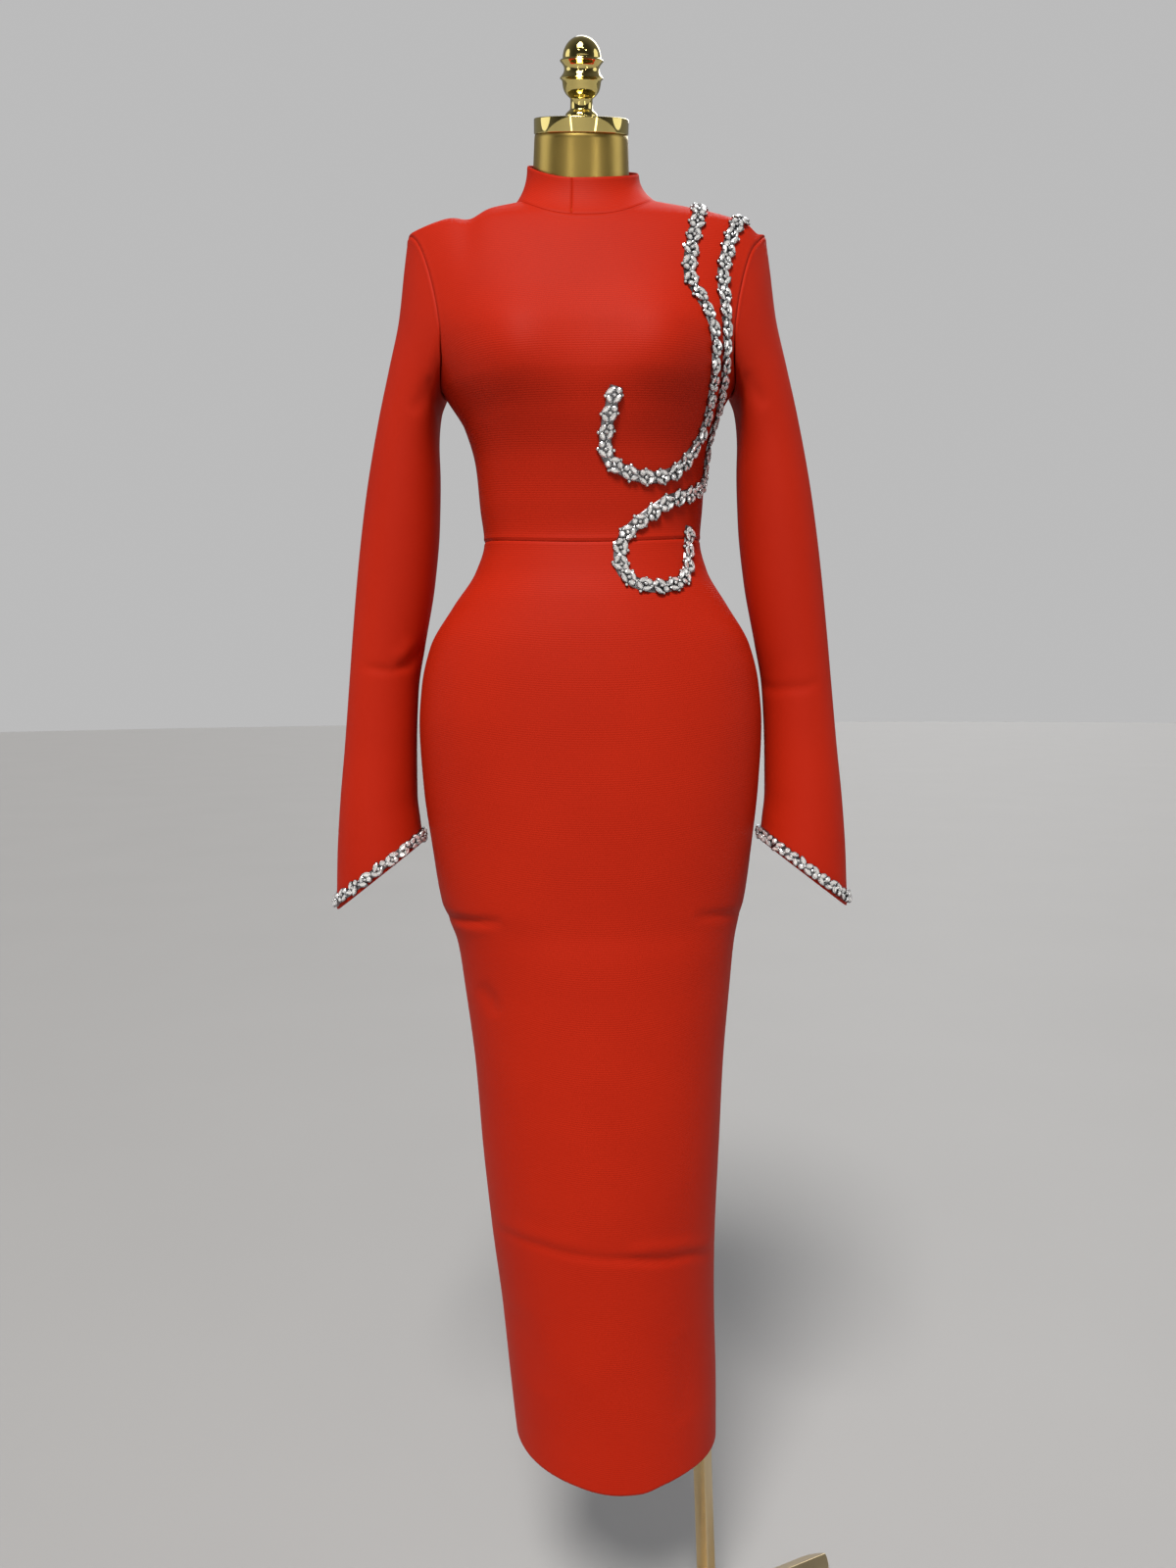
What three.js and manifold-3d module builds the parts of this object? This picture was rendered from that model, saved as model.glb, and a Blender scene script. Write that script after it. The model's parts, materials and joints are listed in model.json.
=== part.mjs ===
// A long-sleeved bodycon dress with crystal trims, worn by a limbless dress form on a tripod stand.
// Millimetres, +Z up. The front of the dress faces -Y and the wearer's left side is at +X.
// The origin is on the floor, under the centre of the stand's hub.
import * as THREE from 'three';
import { mergeVertices } from 'three/addons/utils/BufferGeometryUtils.js';
import Module from 'manifold-3d';

// Driving sizes of the cloth
const CLOTH = 2;                 // thickness of the bandage knit
const SEAM = 0.3;                // space left between two sewn pieces
const FORM_GAP = 0.8;            // from the knit to the form, where the dress is held up
const LOOSE_GAP = 1.6;           // the same, from a little below the waist
const GAP_CHANGE = 60;           // height over which the one becomes the other
const TOP_INSET = 2.2;           // more room under the sharply bent cloth beside the neck
const WAIST_Z = 1167;            // waist seam at the sides
const WAIST_DIP = { front: 8, back: 3 };
const UNDERARM_Z = 1314;
const NECK_HALF = 70;            // half the neckline's width
const SHOULDER_HALF = 175.5;     // from the centre to the tip of the shoulder
const NECKLINE = { front: 1460, side: 1492, back: 1521, roundness: 2.6 };
const BUST = { x: 72, z: 1330, spreadX: 44, spreadZ: 50, lift: 15 };
const SHOULDER_DENTS = { from: 1400, full: 1460, dents: [[-112, 13, 6.5], [165, 8, 5.5]] };

// Height of the hem, from the wearer's right side seam to the left one
const HEM_Z = 227;
const HEM = table(['across', 'z'], [
  [-1, 237.5], [-0.5, 232.5], [0, 227], [0.2, 227], [0.45, 231.5], [0.7, 233.5], [0.9, 232], [1, 228.5],
]);

// Creases of the skirt's front: where the cloth falls in under the form's lower edge, and one long
// fold across the calf, deepest in its line's middle
const FOLD_LINE = table(['x', 'z'], [
  [-108, 471.5], [-83, 479.5], [-52, 479], [-22, 475.5], [6.5, 473], [36, 470.5], [65, 464.5],
  [97, 458.5], [126, 436.5],
]);
const CREASES = [
  { depth: 2.2, width: 7, line: FOLD_LINE },
  { depth: 2.4, width: 8, line: table(['x', 'z'], [[-146, 794], [-120, 795], [-88, 798]]) },
  { depth: 1.8, width: 8, line: table(['x', 'z'], [[100, 801], [126, 799], [150, 795]]) },
];

// Horizontal sections of the dress's outer surface, from the hem up
const SECTIONS = table(['z', 'half', 'mid', 'front', 'back', 'power'], [
  [210, 105, 23, 104, 104, 2.0],
  [292, 109, 19, 105, 106, 2.0],
  [380, 112, 14, 107, 108, 2.0],
  [466, 117.5, 9.5, 109, 111, 2.05],
  [551, 123.5, 7.5, 110, 113, 2.05],
  [636, 128.5, 6.5, 109, 114, 2.05],
  [720, 137, 5, 106, 113, 2.05],
  [762, 142, 4, 104, 112, 2.1],
  [790, 149.5, 2, 102, 112, 2.1],
  [806, 155, 1, 102, 113, 2.1],
  [864, 163.5, 0.5, 103, 119, 2.1],
  [924, 170.5, 0, 104, 126, 2.1],
  [984, 173.5, 0, 104, 129, 2.1],
  [1024, 170.5, 0, 103, 126, 2.1],
  [1064, 161, 0, 100, 116, 2.1],
  [1104, 137.5, 0.5, 94, 100, 2.1],
  [1138, 116, 2, 86, 84, 2.15],
  [1167, 108, 3, 82, 75, 2.2],
  [1200, 111, 2.5, 86, 77, 2.2],
  [1240, 114, 2, 94, 82, 2.25],
  [1278, 123.5, 1, 105, 89, 2.3],
  [1314, 144, 0, 112, 95, 2.3],
  [1350, 162, 0, 109, 97, 2.3],
  [1390, 175, 0, 98, 96, 2.25],
  [1430, 179.5, 0, 84, 91, 2.2],
  [1462, 175.5, 0, 69, 79, 2.15],
  [1492, 70, 0, 45, 60, 2.0],
  [1525, 70, 0, 45, 56, 2.0],
]);

// Height of the shoulder's ridge, from the neck out to the tip
const SHOULDER = table(['x', 'z'], [
  [70, 1492], [78, 1488], [100, 1483.5], [120, 1480], [140, 1475.5], [160, 1469], [175.5, 1462],
]);

// Armhole edge of the bodice, seen from the front
const ARMHOLE = table(['z', 'x'], [
  [1314, 144], [1322, 141], [1335, 138.5], [1352, 138.5], [1375, 141], [1400, 146], [1425, 153],
  [1445, 161], [1458, 169.5], [1462, 175.5],
]);

// Sleeve sections from the armhole down to the slanted cuff, by their outer and inner edges
const SLEEVE = table(['step', 'outerX', 'outerZ', 'innerX', 'innerZ', 'depth'], [
  [0, 175.5, 1462, 144, 1314, 52],
  [1, 180, 1430, 147.5, 1304, 51],
  [2, 186, 1384, 149.5, 1291, 49],
  [3, 197, 1336, 149.5, 1267, 46],
  [4, 209, 1284, 148.5, 1232, 43],
  [5, 221.5, 1220, 150, 1184, 41],
  [6, 231.5, 1150, 156, 1126, 39],
  [7, 239.5, 1076, 167, 1066, 37],
  [8, 244.5, 1024, 174.5, 1021, 36],
  [9, 250.5, 962, 177.5, 962, 37],
  [10, 256.5, 906, 178, 916, 40],
  [11, 260.5, 852, 175.5, 888, 43],
  [12, 262.5, 797, 173, 865, 46],
]);
const LOOP_BLEND = [1, 0.75, 0.42, 0.14];   // how far the first rings still follow the armhole

// Upright collar
const COLLAR_TOP = { x: -3, y: -6.5, z: 1521.5, half: 54.5, depth: 51.5, tilt: 24.8 };
const COLLAR_LIFT = { right: 12, roundness: 1.7 };   // the collar stands higher on the wearer's right
const COLLAR_FLARE = 2.3;
const COLLAR_SEAM_X = -14;
const COLLAR_SPACE = 0.009;      // half a seam, in steps round the collar

// Crystal trims: the route's bends on the front, and half the band's width there
const TRIM_COLUMNS = ['x', 'z', 'half'];
const TRIM_INNER = table(TRIM_COLUMNS, [
  [109, 1481, 8], [107, 1475, 8], [104, 1461, 8], [101, 1447, 8], [96, 1426, 8], [94, 1408, 8],
  [95, 1394, 8], [101.5, 1381, 7.5], [109, 1367, 7], [114.5, 1354, 6.6], [117.2, 1338, 6.4],
  [117.5, 1322, 6.4], [117, 1308, 6.6], [115.5, 1294, 7], [113, 1280, 7.5], [106.5, 1260, 7.5],
  [97, 1243, 8], [84, 1227, 8], [68, 1219, 8], [50, 1218, 8], [32, 1223, 8], [18.5, 1233, 8],
  [15.5, 1248, 8], [17.5, 1264, 8], [21.5, 1280, 8], [25.5, 1294, 8],
]);
const TRIM_OUTER = table(TRIM_COLUMNS, [
  [150, 1471.5, 8], [148, 1468, 8], [143.5, 1461, 8], [135, 1442, 8], [129, 1421, 8], [126, 1406, 8],
  [126, 1391, 8], [127, 1374, 7], [128, 1357, 6.6], [128.8, 1343, 6.4], [128.8, 1325, 6.4],
  [127.8, 1311, 6.4], [126.5, 1298, 6.6], [124.6, 1284, 7], [120.5, 1274, 7], [118, 1263, 8],
  [115.5, 1248, 8], [113.5, 1232, 8], [111, 1219, 8], [102, 1209, 8], [87, 1202.5, 8], [74, 1197, 8],
  [61, 1188, 8], [48, 1178, 8], [36, 1167, 8], [29.5, 1154, 8], [28.5, 1140, 8], [34, 1127, 8],
  [48, 1118.5, 8], [67, 1116.5, 8], [84, 1121, 8], [93, 1131, 8], [95, 1147, 8], [95.5, 1164, 8],
  [96.5, 1177, 8],
]);
const TRIM_REACH = 0.985;        // farthest place of a trim's middle, as a share of the half width
const STONE = { pitch: 16, perPitch: 2, height: 4, swell: 0.9, spread: 1.2, sunk: 3 };
const CUFF_TRIM = { low: 1, high: 16, lift: 0.5 };

// Centre-back zip
const ZIP = { half: 12, tape: 1.4, lift: 0.6, lowestRow: 5, top: 0.96 };
const SLIDER = { width: 9, length: 9, depth: 2.4, lug: 1.3, pin: 0.6 };
const PULL = {
  width: 8, neck: 4, length: 26, depth: 1.6, barrel: 1.4, bore: 0.68, clear: 0.15, tipClear: 2.6,
};

// Dress form: the torso ends at the thighs, and its neck leans forward
const TORSO_BOTTOM = table(['z', 'inset'], [[797, 10], [798.5, 4.5], [803, 1], [808, 0]]);
const NECK = {
  x: -4.5, y: -19, z: 1552, tilt: 21, lean: 1, length: 92, top: 45, collar: 48.5, base: 43,
};
const CAP = { radius: 45.5, height: 13.4, edge: 0.8 };
const FINIAL = table(['up', 'radius'], [
  [0, 15.6], [3, 15.2], [5.6, 13.2], [7.6, 10.8], [16.8, 10.6], [18.2, 13], [20.6, 15.2], [23.4, 17],
  [28.4, 18.2], [31.6, 18.6], [32.6, 20.6], [33.6, 20.6], [39, 16.6], [42, 16.7], [46.9, 20.7],
  [47.9, 20.7], [49.2, 18.1],
]);
const FINIAL_BALL = { centre: 49.7, radius: 18, from: 0 };

// Tripod stand: the post stands on the leg that points back and to the wearer's left
const FORM_AXIS = { x: 12, y: 64 };      // the form's axis, from the hub
const POST = { side: 15, turn: -38, footX: 119, footY: 0, lean: 0.0315 };
const SOCKET = { radius: 26, height: 12 };
const FOOT = { radius: 21, height: 14 };
const HUB = { radius: 34, height: 30 };
const PAD = { radius: 14, hubRadius: 24, height: 5, inset: 24 };
const LEG = { half: 20, ridge: 25, slope: 0.6, endTurns: [25, 45, 62, 76, 86] };
const LEGS = table(['name', 'x', 'y'], [
  ['left', 274, 133], ['right', -256, 88], ['front', 32, -262],
]);

// Colours and finishes
const KNIT = finish(0xb92a14, 0.62, 0);
const CRYSTAL = finish(0xd9dce0, 0.18, 0.2);
const SATIN_GOLD = finish(0xb08d48, 0.42, 0.85);
const BRIGHT_GOLD = finish(0xd8b45a, 0.14, 1);
const RUBBER = finish(0x1b1b1c, 0.8, 0);
const ZIP_TAPE = finish(0xa82612, 0.7, 0);

const wasm = await Module();
wasm.setup();

function table(columns, rows) {
  return rows.map((row) => Object.fromEntries(columns.map((name, i) => [name, row[i]])));
}

function finish(color, roughness, metalness) {
  return new THREE.MeshStandardMaterial({ color, roughness, metalness });
}

function lerp(a, b, share) {
  return a + (b - a) * share;
}

function radians(degrees) {
  return (degrees * Math.PI) / 180;
}

// Smooth value of one column of a table, with no overshoot between its rows
function column(rows, key, at, by = 'z') {
  const last = rows.length - 1;
  if (at <= rows[0][by]) return rows[0][key];
  if (at >= rows[last][by]) return rows[last][key];
  let i = 0;
  while (rows[i + 1][by] <= at) i += 1;
  const rise = (k) => (rows[k + 1][key] - rows[k][key]) / (rows[k + 1][by] - rows[k][by]);
  const slope = (k) => {
    if (k === 0) return rise(0);
    if (k === last) return rise(last - 1);
    const before = rise(k - 1);
    const after = rise(k);
    return before * after <= 0 ? 0 : (2 * before * after) / (before + after);
  };
  const span = rows[i + 1][by] - rows[i][by];
  const t = (at - rows[i][by]) / span;
  const bend = t * t * (3 - 2 * t);
  const start = t * (1 - t) * (1 - t) * span * slope(i);
  const end = t * t * (t - 1) * span * slope(i + 1);
  return lerp(rows[i][key], rows[i + 1][key], bend) + start + end;
}

// Half the body's width at a height. On the shoulders it is the ridge's height table, read backwards
function halfWidth(z) {
  if (z <= SHOULDER.at(-1).z) return column(SECTIONS, 'half', z);
  if (z >= SHOULDER[0].z) return NECK_HALF;
  let low = NECK_HALF;
  let high = SHOULDER_HALF;
  for (let step = 0; step < 40; step += 1) {
    const middle = (low + high) / 2;
    if (column(SHOULDER, 'z', middle, 'x') > z) low = middle;
    else high = middle;
  }
  return (low + high) / 2;
}

function bustLift(x, z) {
  const high = ((z - BUST.z) / BUST.spreadZ) ** 2;
  const cup = (centre) => Math.exp(-(((x - centre) / BUST.spreadX) ** 2) - high);
  return BUST.lift * (cup(BUST.x) + cup(-BUST.x));
}

function depthAt(side, x, z) {
  if (side < 0) return column(SECTIONS, 'front', z) + bustLift(x, z);
  return column(SECTIONS, 'back', z);
}

// Zero on the dress's outer surface, positive outside it
function outside(x, y, z) {
  const power = column(SECTIONS, 'power', z);
  const wide = Math.abs((x - column(SECTIONS, 'mid', z)) / halfWidth(z));
  const deep = Math.abs(y / depthAt(y < 0 ? -1 : 1, x, z));
  return wide ** power + deep ** power - 1;
}

function slopeAt(p) {
  const d = 0.4;
  return new THREE.Vector3(
    outside(p.x + d, p.y, p.z) - outside(p.x - d, p.y, p.z),
    outside(p.x, p.y + d, p.z) - outside(p.x, p.y - d, p.z),
    outside(p.x, p.y, p.z + d) - outside(p.x, p.y, p.z - d),
  ).divideScalar(2 * d);
}

function normalAt(p) {
  return slopeAt(p).normalize();
}

// Point of the outer surface on the front (side -1) or back (side 1)
function bodyPoint(side, x, z) {
  const power = column(SECTIONS, 'power', z);
  const wide = Math.min(1, Math.abs(x - column(SECTIONS, 'mid', z)) / halfWidth(z));
  const deep = (1 - wide ** power) ** (1 / power);
  return new THREE.Vector3(x, side * depthAt(side, x, z) * deep, z);
}

// Nearest point of the outer surface, lifted off it
function seat(p, lift) {
  const q = p.clone();
  for (let step = 0; step < 4; step += 1) {
    const slope = slopeAt(q);
    q.addScaledVector(slope, -outside(q.x, q.y, q.z) / slope.lengthSq());
  }
  return q.addScaledVector(normalAt(q), lift);
}

// Columns of the bodice: an even fan over the neckline, then out along the shoulder
const NECK_COLUMNS = 5;
const NECK_SHARE = NECK_HALF / SHOULDER_HALF;
const neckSteps = Array.from({ length: NECK_COLUMNS + 1 }, (_, i) => NECK_SHARE
  * Math.sin((i * Math.PI) / 2 / NECK_COLUMNS));
const shoulderSteps = [0.53, 0.65, 0.76, 0.86, 0.94, 1];
const BODICE_COLUMNS = mirrored([...neckSteps, ...shoulderSteps]);
const SKIRT_COLUMNS = mirrored(Array.from({ length: 10 }, (_, i) => Math.sin((i * Math.PI) / 18)));
const LOWER_ROWS = 4;            // rows from the waist to the underarm
const CAP_ROWS = 8;              // rows from the underarm to the shoulder
const SKIRT_ROWS = [
  WAIST_Z, 1138, 1108, 1072, 1036, 1000, 960, 905, 850, 810, 796, 782, 755, 700, 610, 520, HEM_Z,
].map((z) => (WAIST_Z - z) / (WAIST_Z - HEM_Z));
const FOLD_ROWS = [10, 0, -10];  // rows over, in and under the long fold
const ROW_UNDER_FOLD = (WAIST_Z - 370) / (WAIST_Z - HEM_Z);
const TORSO_ROWS = 9;            // how many of the skirt's rows the form reaches

function mirrored(steps) {
  return [...steps.slice(1).reverse().map((step) => -step), ...steps];
}

function waistline(side, across) {
  const dip = side < 0 ? WAIST_DIP.front : WAIST_DIP.back;
  return WAIST_Z - dip * (1 - across * across);
}

function topline(side, x) {
  const away = Math.abs(x);
  if (away >= NECK_HALF - 0.001) return column(SHOULDER, 'z', away, 'x');
  const centre = side < 0 ? NECKLINE.front : NECKLINE.back;
  return lerp(centre, NECKLINE.side, (away / NECK_HALF) ** NECKLINE.roundness);
}

function bodicePoint(side, across, row) {
  if (row <= LOWER_ROWS) {
    const low = lerp(waistline(side, across), UNDERARM_Z, row / LOWER_ROWS);
    return bodyPoint(side, column(SECTIONS, 'mid', low) + across * halfWidth(low), low);
  }
  const rise = (1 - Math.cos((Math.PI * (row - LOWER_ROWS)) / CAP_ROWS)) / 2;
  const z = lerp(UNDERARM_Z, topline(side, across * SHOULDER_HALF), rise);
  const x = across * column(ARMHOLE, 'x', z);
  const onRidge = row === LOWER_ROWS + CAP_ROWS && Math.abs(across) > NECK_SHARE - 0.001;
  return onRidge ? new THREE.Vector3(x, 0, z) : bodyPoint(side, x, z);
}

function skirtAt(side, across, z) {
  return bodyPoint(side, column(SECTIONS, 'mid', z) + across * halfWidth(z), z);
}

function skirtPoint(side, across, share) {
  return skirtAt(side, across, lerp(waistline(side, across), column(HEM, 'z', across, 'across'), share));
}

// Height of the long fold, which the rows of the skirt's back follow too
function foldHeight(across) {
  return column(FOLD_LINE, 'z', lerp(FOLD_LINE[0].x, FOLD_LINE.at(-1).x, (across + 1) / 2), 'x');
}

// How far a crease's trough takes the front's cloth in at a point
function creaseDepth(p) {
  return CREASES.reduce((sum, { depth, width, line }) => {
    const share = (p.x - line[0].x) / (line.at(-1).x - line[0].x);
    if (share <= 0 || share >= 1) return sum;
    const away = (p.z - column(line, 'z', p.x, 'x')) / width;
    return sum + depth * Math.sqrt(Math.sin(Math.PI * share)) * Math.exp(-away * away);
  }, 0);
}

function creased(side, p) {
  return side < 0 ? p.addScaledVector(normalAt(p), -creaseDepth(p)) : p;
}

// The shoulders' cloth sinks a little beside the collar on the right and over the left armhole
function sinkShoulders(positions) {
  const { from, full, dents } = SHOULDER_DENTS;
  for (let i = 0; i < positions.length; i += 3) {
    const height = THREE.MathUtils.clamp((positions[i + 2] - from) / (full - from), 0, 1);
    dents.forEach(([x, wide, deep]) => {
      positions[i + 2] -= height * deep * Math.exp(-(((positions[i] - x) / wide) ** 2));
    });
  }
  return positions;
}

// A solid from rings or rows of outer and inner points, closed along its edges
function shell(outer, inner, wraps = false) {
  const rows = outer.length;
  const columns = outer[0].length;
  const positions = [...outer.flat(), ...inner.flat()].flatMap((p) => [p.x, p.y, p.z]);
  const index = [];
  const at = (layer, r, c) => layer * rows * columns + r * columns + (c % columns);
  const gap = (a, b, k) => positions[3 * a + k] - positions[3 * b + k];
  const span = (a, b) => Math.hypot(gap(a, b, 0), gap(a, b, 1), gap(a, b, 2));
  const quad = (a, b, c, d) => index.push(a, b, c, a, c, d);
  // Two sewn edges split the same way when each takes its shorter diagonal
  const rim = (a, b, c, d) => (span(a, c) < span(b, d) ? quad(a, b, c, d) : quad(b, c, d, a));
  const cells = wraps ? columns : columns - 1;
  for (let r = 0; r < rows - 1; r += 1) {
    for (let c = 0; c < cells; c += 1) {
      quad(at(0, r, c), at(0, r, c + 1), at(0, r + 1, c + 1), at(0, r + 1, c));
      quad(at(1, r, c), at(1, r + 1, c), at(1, r + 1, c + 1), at(1, r, c + 1));
    }
    if (!wraps) {
      rim(at(0, r, 0), at(0, r + 1, 0), at(1, r + 1, 0), at(1, r, 0));
      rim(at(0, r, cells), at(1, r, cells), at(1, r + 1, cells), at(0, r + 1, cells));
    }
  }
  for (let c = 0; c < cells; c += 1) {
    rim(at(0, 0, c), at(1, 0, c), at(1, 0, c + 1), at(0, 0, c + 1));
    const r = rows - 1;
    rim(at(0, r, c), at(0, r, c + 1), at(1, r, c + 1), at(1, r, c));
  }
  return outward(positions, index);
}

// A closed solid skinned over equal rings of points, with flat or coned ends
function skin(rings) {
  const count = rings[0].length;
  const positions = rings.flat().flatMap((p) => [p.x, p.y, p.z]);
  const index = [];
  for (let r = 0; r < rings.length - 1; r += 1) {
    for (let c = 0; c < count; c += 1) {
      const next = (c + 1) % count;
      const [a, b] = [r * count + c, r * count + next];
      index.push(a, b, b + count, a, b + count, a + count);
    }
  }
  const last = (rings.length - 1) * count;
  for (let c = 1; c < count - 1; c += 1) {
    index.push(0, c + 1, c, last, last + c, last + c + 1);
  }
  return outward(positions, index);
}

// Indexed geometry whose faces point out of the solid
function outward(points, index) {
  const positions = sinkShoulders(points);
  const corner = (i) => new THREE.Vector3().fromArray(positions, index[i] * 3);
  let volume = 0;
  for (let i = 0; i < index.length; i += 3) {
    volume += corner(i).dot(corner(i + 1).cross(corner(i + 2)));
  }
  if (volume < 0) {
    for (let i = 0; i < index.length; i += 3) [index[i], index[i + 1]] = [index[i + 1], index[i]];
  }
  const geometry = new THREE.BufferGeometry();
  geometry.setAttribute('position', new THREE.Float32BufferAttribute(positions, 3));
  geometry.setIndex(index);
  return geometry;
}

function piece(name, geometry, material) {
  const mesh = new THREE.Mesh(geometry, material);
  mesh.name = name;
  return mesh;
}

function solid(geometry) {
  const bare = geometry.clone();
  bare.deleteAttribute('normal');
  bare.deleteAttribute('uv');
  const merged = mergeVertices(bare, 1e-3);
  return new wasm.Manifold(new wasm.Mesh({
    numProp: 3,
    vertProperties: new Float32Array(merged.attributes.position.array),
    triVerts: new Uint32Array(merged.index.array),
  }));
}

function geometryOf(manifold) {
  const mesh = manifold.getMesh();
  const geometry = new THREE.BufferGeometry();
  geometry.setAttribute('position', new THREE.Float32BufferAttribute(mesh.vertProperties, 3));
  geometry.setIndex(new THREE.Uint32BufferAttribute(mesh.triVerts, 1));
  return geometry;
}

// Keeps half a seam's space on this side of the side seams, shoulder seams and centre-back seam
function clearOfSeams(p, side, half) {
  if (Math.abs(p.y) < SEAM / 2) p.setY((side * SEAM) / 2);
  const mid = column(SECTIONS, 'mid', p.z);
  if (half !== 0 && (p.x - mid) * half < SEAM / 2) p.setX(mid + (half * SEAM) / 2);
  return p;
}

const BODICE_ROWS = Array.from({ length: LOWER_ROWS + CAP_ROWS + 1 }, (_, row) => row);

function bodiceGrid(side, columns = BODICE_COLUMNS) {
  return BODICE_ROWS.map((row) => columns.map((across) => bodicePoint(side, across, row)));
}

function skirtGrid(side, columns = SKIRT_COLUMNS) {
  const row = (pointAt) => columns.map((across) => creased(side, pointAt(across)));
  const plain = (share) => row((across) => skirtPoint(side, across, share));
  const fold = (over) => row((across) => skirtAt(side, across, foldHeight(across) + over));
  return [
    ...SKIRT_ROWS.slice(0, -1).map(plain), ...FOLD_ROWS.map(fold), plain(ROW_UNDER_FOLD),
    plain(SKIRT_ROWS.at(-1)),
  ];
}

function movedAlongNormals(grid, distance) {
  return grid.map((line) => line.map((p) => p.clone().addScaledVector(normalAt(p), distance)));
}

// A panel of cloth from a grid whose first row lies on the waist seam
function panel(name, grid, side, half) {
  const waist = Math.sign(grid.at(-1)[0].z - grid[0][0].z);
  grid[0].forEach((p) => p.setZ(p.z + (waist * SEAM) / 2));
  const cleared = (rows) => rows.map((line) => line.map((p) => clearOfSeams(p, side, half)));
  const outer = cleared(grid);
  return piece(name, shell(outer, cleared(movedAlongNormals(outer, -CLOTH))), KNIT);
}

function onHalf(columns, half) {
  return columns.filter((across) => half === 0 || across * half >= 0);
}

function bodicePanel(name, side, half = 0) {
  return panel(name, bodiceGrid(side, onHalf(BODICE_COLUMNS, half)), side, half);
}

function skirtPanel(name, side, half = 0) {
  return panel(name, skirtGrid(side, onHalf(SKIRT_COLUMNS, half)), side, half);
}

// The panels' volume grown by a seam's space and thickened, to cut what lies on or under them
function swollen(grid, out, thickness) {
  return solid(shell(movedAlongNormals(grid, out), movedAlongNormals(grid, out - thickness)));
}

// Points round an opening of the bodice, with the way out of the cloth's edge at each
function openingLoop(points, turn) {
  const count = points.length;
  return points.map((p, i) => {
    const along = points[(i + 1) % count].clone().sub(points[(i + count - 1) % count]);
    const normal = normalAt(p);
    const away = along.cross(normal).multiplyScalar(turn).normalize();
    return { point: p.clone().addScaledVector(away, SEAM), away, normal };
  });
}

function armholeLoop(hand) {
  const down = Array.from({ length: CAP_ROWS + 1 }, (_, i) => LOWER_ROWS + CAP_ROWS - i);
  const up = down.slice(1, -1).reverse();
  return openingLoop([
    ...down.map((row) => bodicePoint(-1, hand, row)),
    ...up.map((row) => bodicePoint(1, hand, row)),
  ], -hand);
}

function necklineLoop() {
  const top = LOWER_ROWS + CAP_ROWS;
  const steps = mirrored(neckSteps);
  return openingLoop([
    ...[...steps].reverse().map((across) => bodicePoint(-1, across, top)),
    ...steps.slice(1, -1).map((across) => bodicePoint(1, across, top)),
  ], 1);
}

// Inner points of a tube of cloth. Its first ring turns with the panel that it is sewn to
function innerOf(rings, loop) {
  const count = rings[0].length;
  return rings.map((ring, r) => ring.map((p, i) => {
    const above = rings[Math.max(0, r - 1)][i];
    const below = rings[Math.min(rings.length - 1, r + 1)][i];
    const round = ring[(i + 1) % count].clone().sub(ring[(i + count - 1) % count]);
    const centre = ring.reduce((sum, q) => sum.add(q), new THREE.Vector3()).divideScalar(count);
    const normal = round.cross(below.clone().sub(above)).normalize();
    if (normal.dot(p.clone().sub(centre)) < 0) normal.negate();
    if (r === 0) {
      const { away, normal: sewn } = loop[i];
      normal.lerp(sewn, Math.max(0, normal.dot(sewn)));
      normal.addScaledVector(away, -Math.max(0, normal.dot(away))).normalize();
    }
    return p.clone().addScaledVector(normal, -CLOTH);
  }));
}

function sleeveRings(hand) {
  const loop = armholeLoop(hand);
  const ringPoint = (row, i) => {
    const turn = (2 * Math.PI * i) / loop.length;
    const out = (1 + Math.cos(turn)) / 2;
    return new THREE.Vector3(
      hand * lerp(row.innerX, row.outerX, out),
      -row.depth * Math.sin(turn),
      lerp(row.innerZ, row.outerZ, out),
    );
  };
  const rings = SLEEVE.map((row, r) => loop.map(({ point }, i) => {
    const bend = point.clone().sub(ringPoint(SLEEVE[0], i));
    return ringPoint(row, i).addScaledVector(bend, LOOP_BLEND[r] ?? 0);
  }));
  return { rings, loop };
}

function sleeve(name, hand) {
  const { rings, loop } = sleeveRings(hand);
  return piece(name, shell(rings, innerOf(rings, loop), true), KNIT);
}

// Ring of the collar at a share of its height, with the outer wall's points
const collarLoop = necklineLoop();
const COLLAR_ROWS = [0, 0.14, 0.32, 0.6, 1];

function collarRing(share) {
  return collarLoop.map(({ point }, i) => {
    const turn = (2 * Math.PI * i) / collarLoop.length;
    const y = -COLLAR_TOP.depth * Math.sin(turn);
    const rise = Math.tan(radians(COLLAR_TOP.tilt)) * y;
    const x = COLLAR_TOP.x + COLLAR_TOP.half * Math.cos(turn);
    const flare = (1 - share) ** COLLAR_FLARE;
    const toRight = Math.max(0, (COLLAR_SEAM_X - x) / COLLAR_TOP.half);
    const high = COLLAR_TOP.z + rise + COLLAR_LIFT.right * toRight ** COLLAR_LIFT.roundness;
    return new THREE.Vector3(
      lerp(x, point.x, flare),
      lerp(COLLAR_TOP.y + y, point.y, flare),
      lerp(point.z, high, share),
    );
  });
}

const collarOuter = COLLAR_ROWS.map(collarRing);
const collarInner = innerOf(collarOuter, collarLoop);

// Point on a ring at a place between two of its points
function between(ring, place) {
  const count = ring.length;
  const low = Math.floor(place);
  return ring[low % count].clone().lerp(ring[(low + 1) % count], place - low);
}

// Place on the collar's rings where a vertical line at x crosses the front or back
function collarPlace(x, from, to) {
  const ring = collarOuter.at(-1);
  for (let place = from; place < to; place += 0.01) {
    if ((between(ring, place).x - x) * (between(ring, place + 0.01).x - x) <= 0) return place;
  }
  return from;
}

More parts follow.
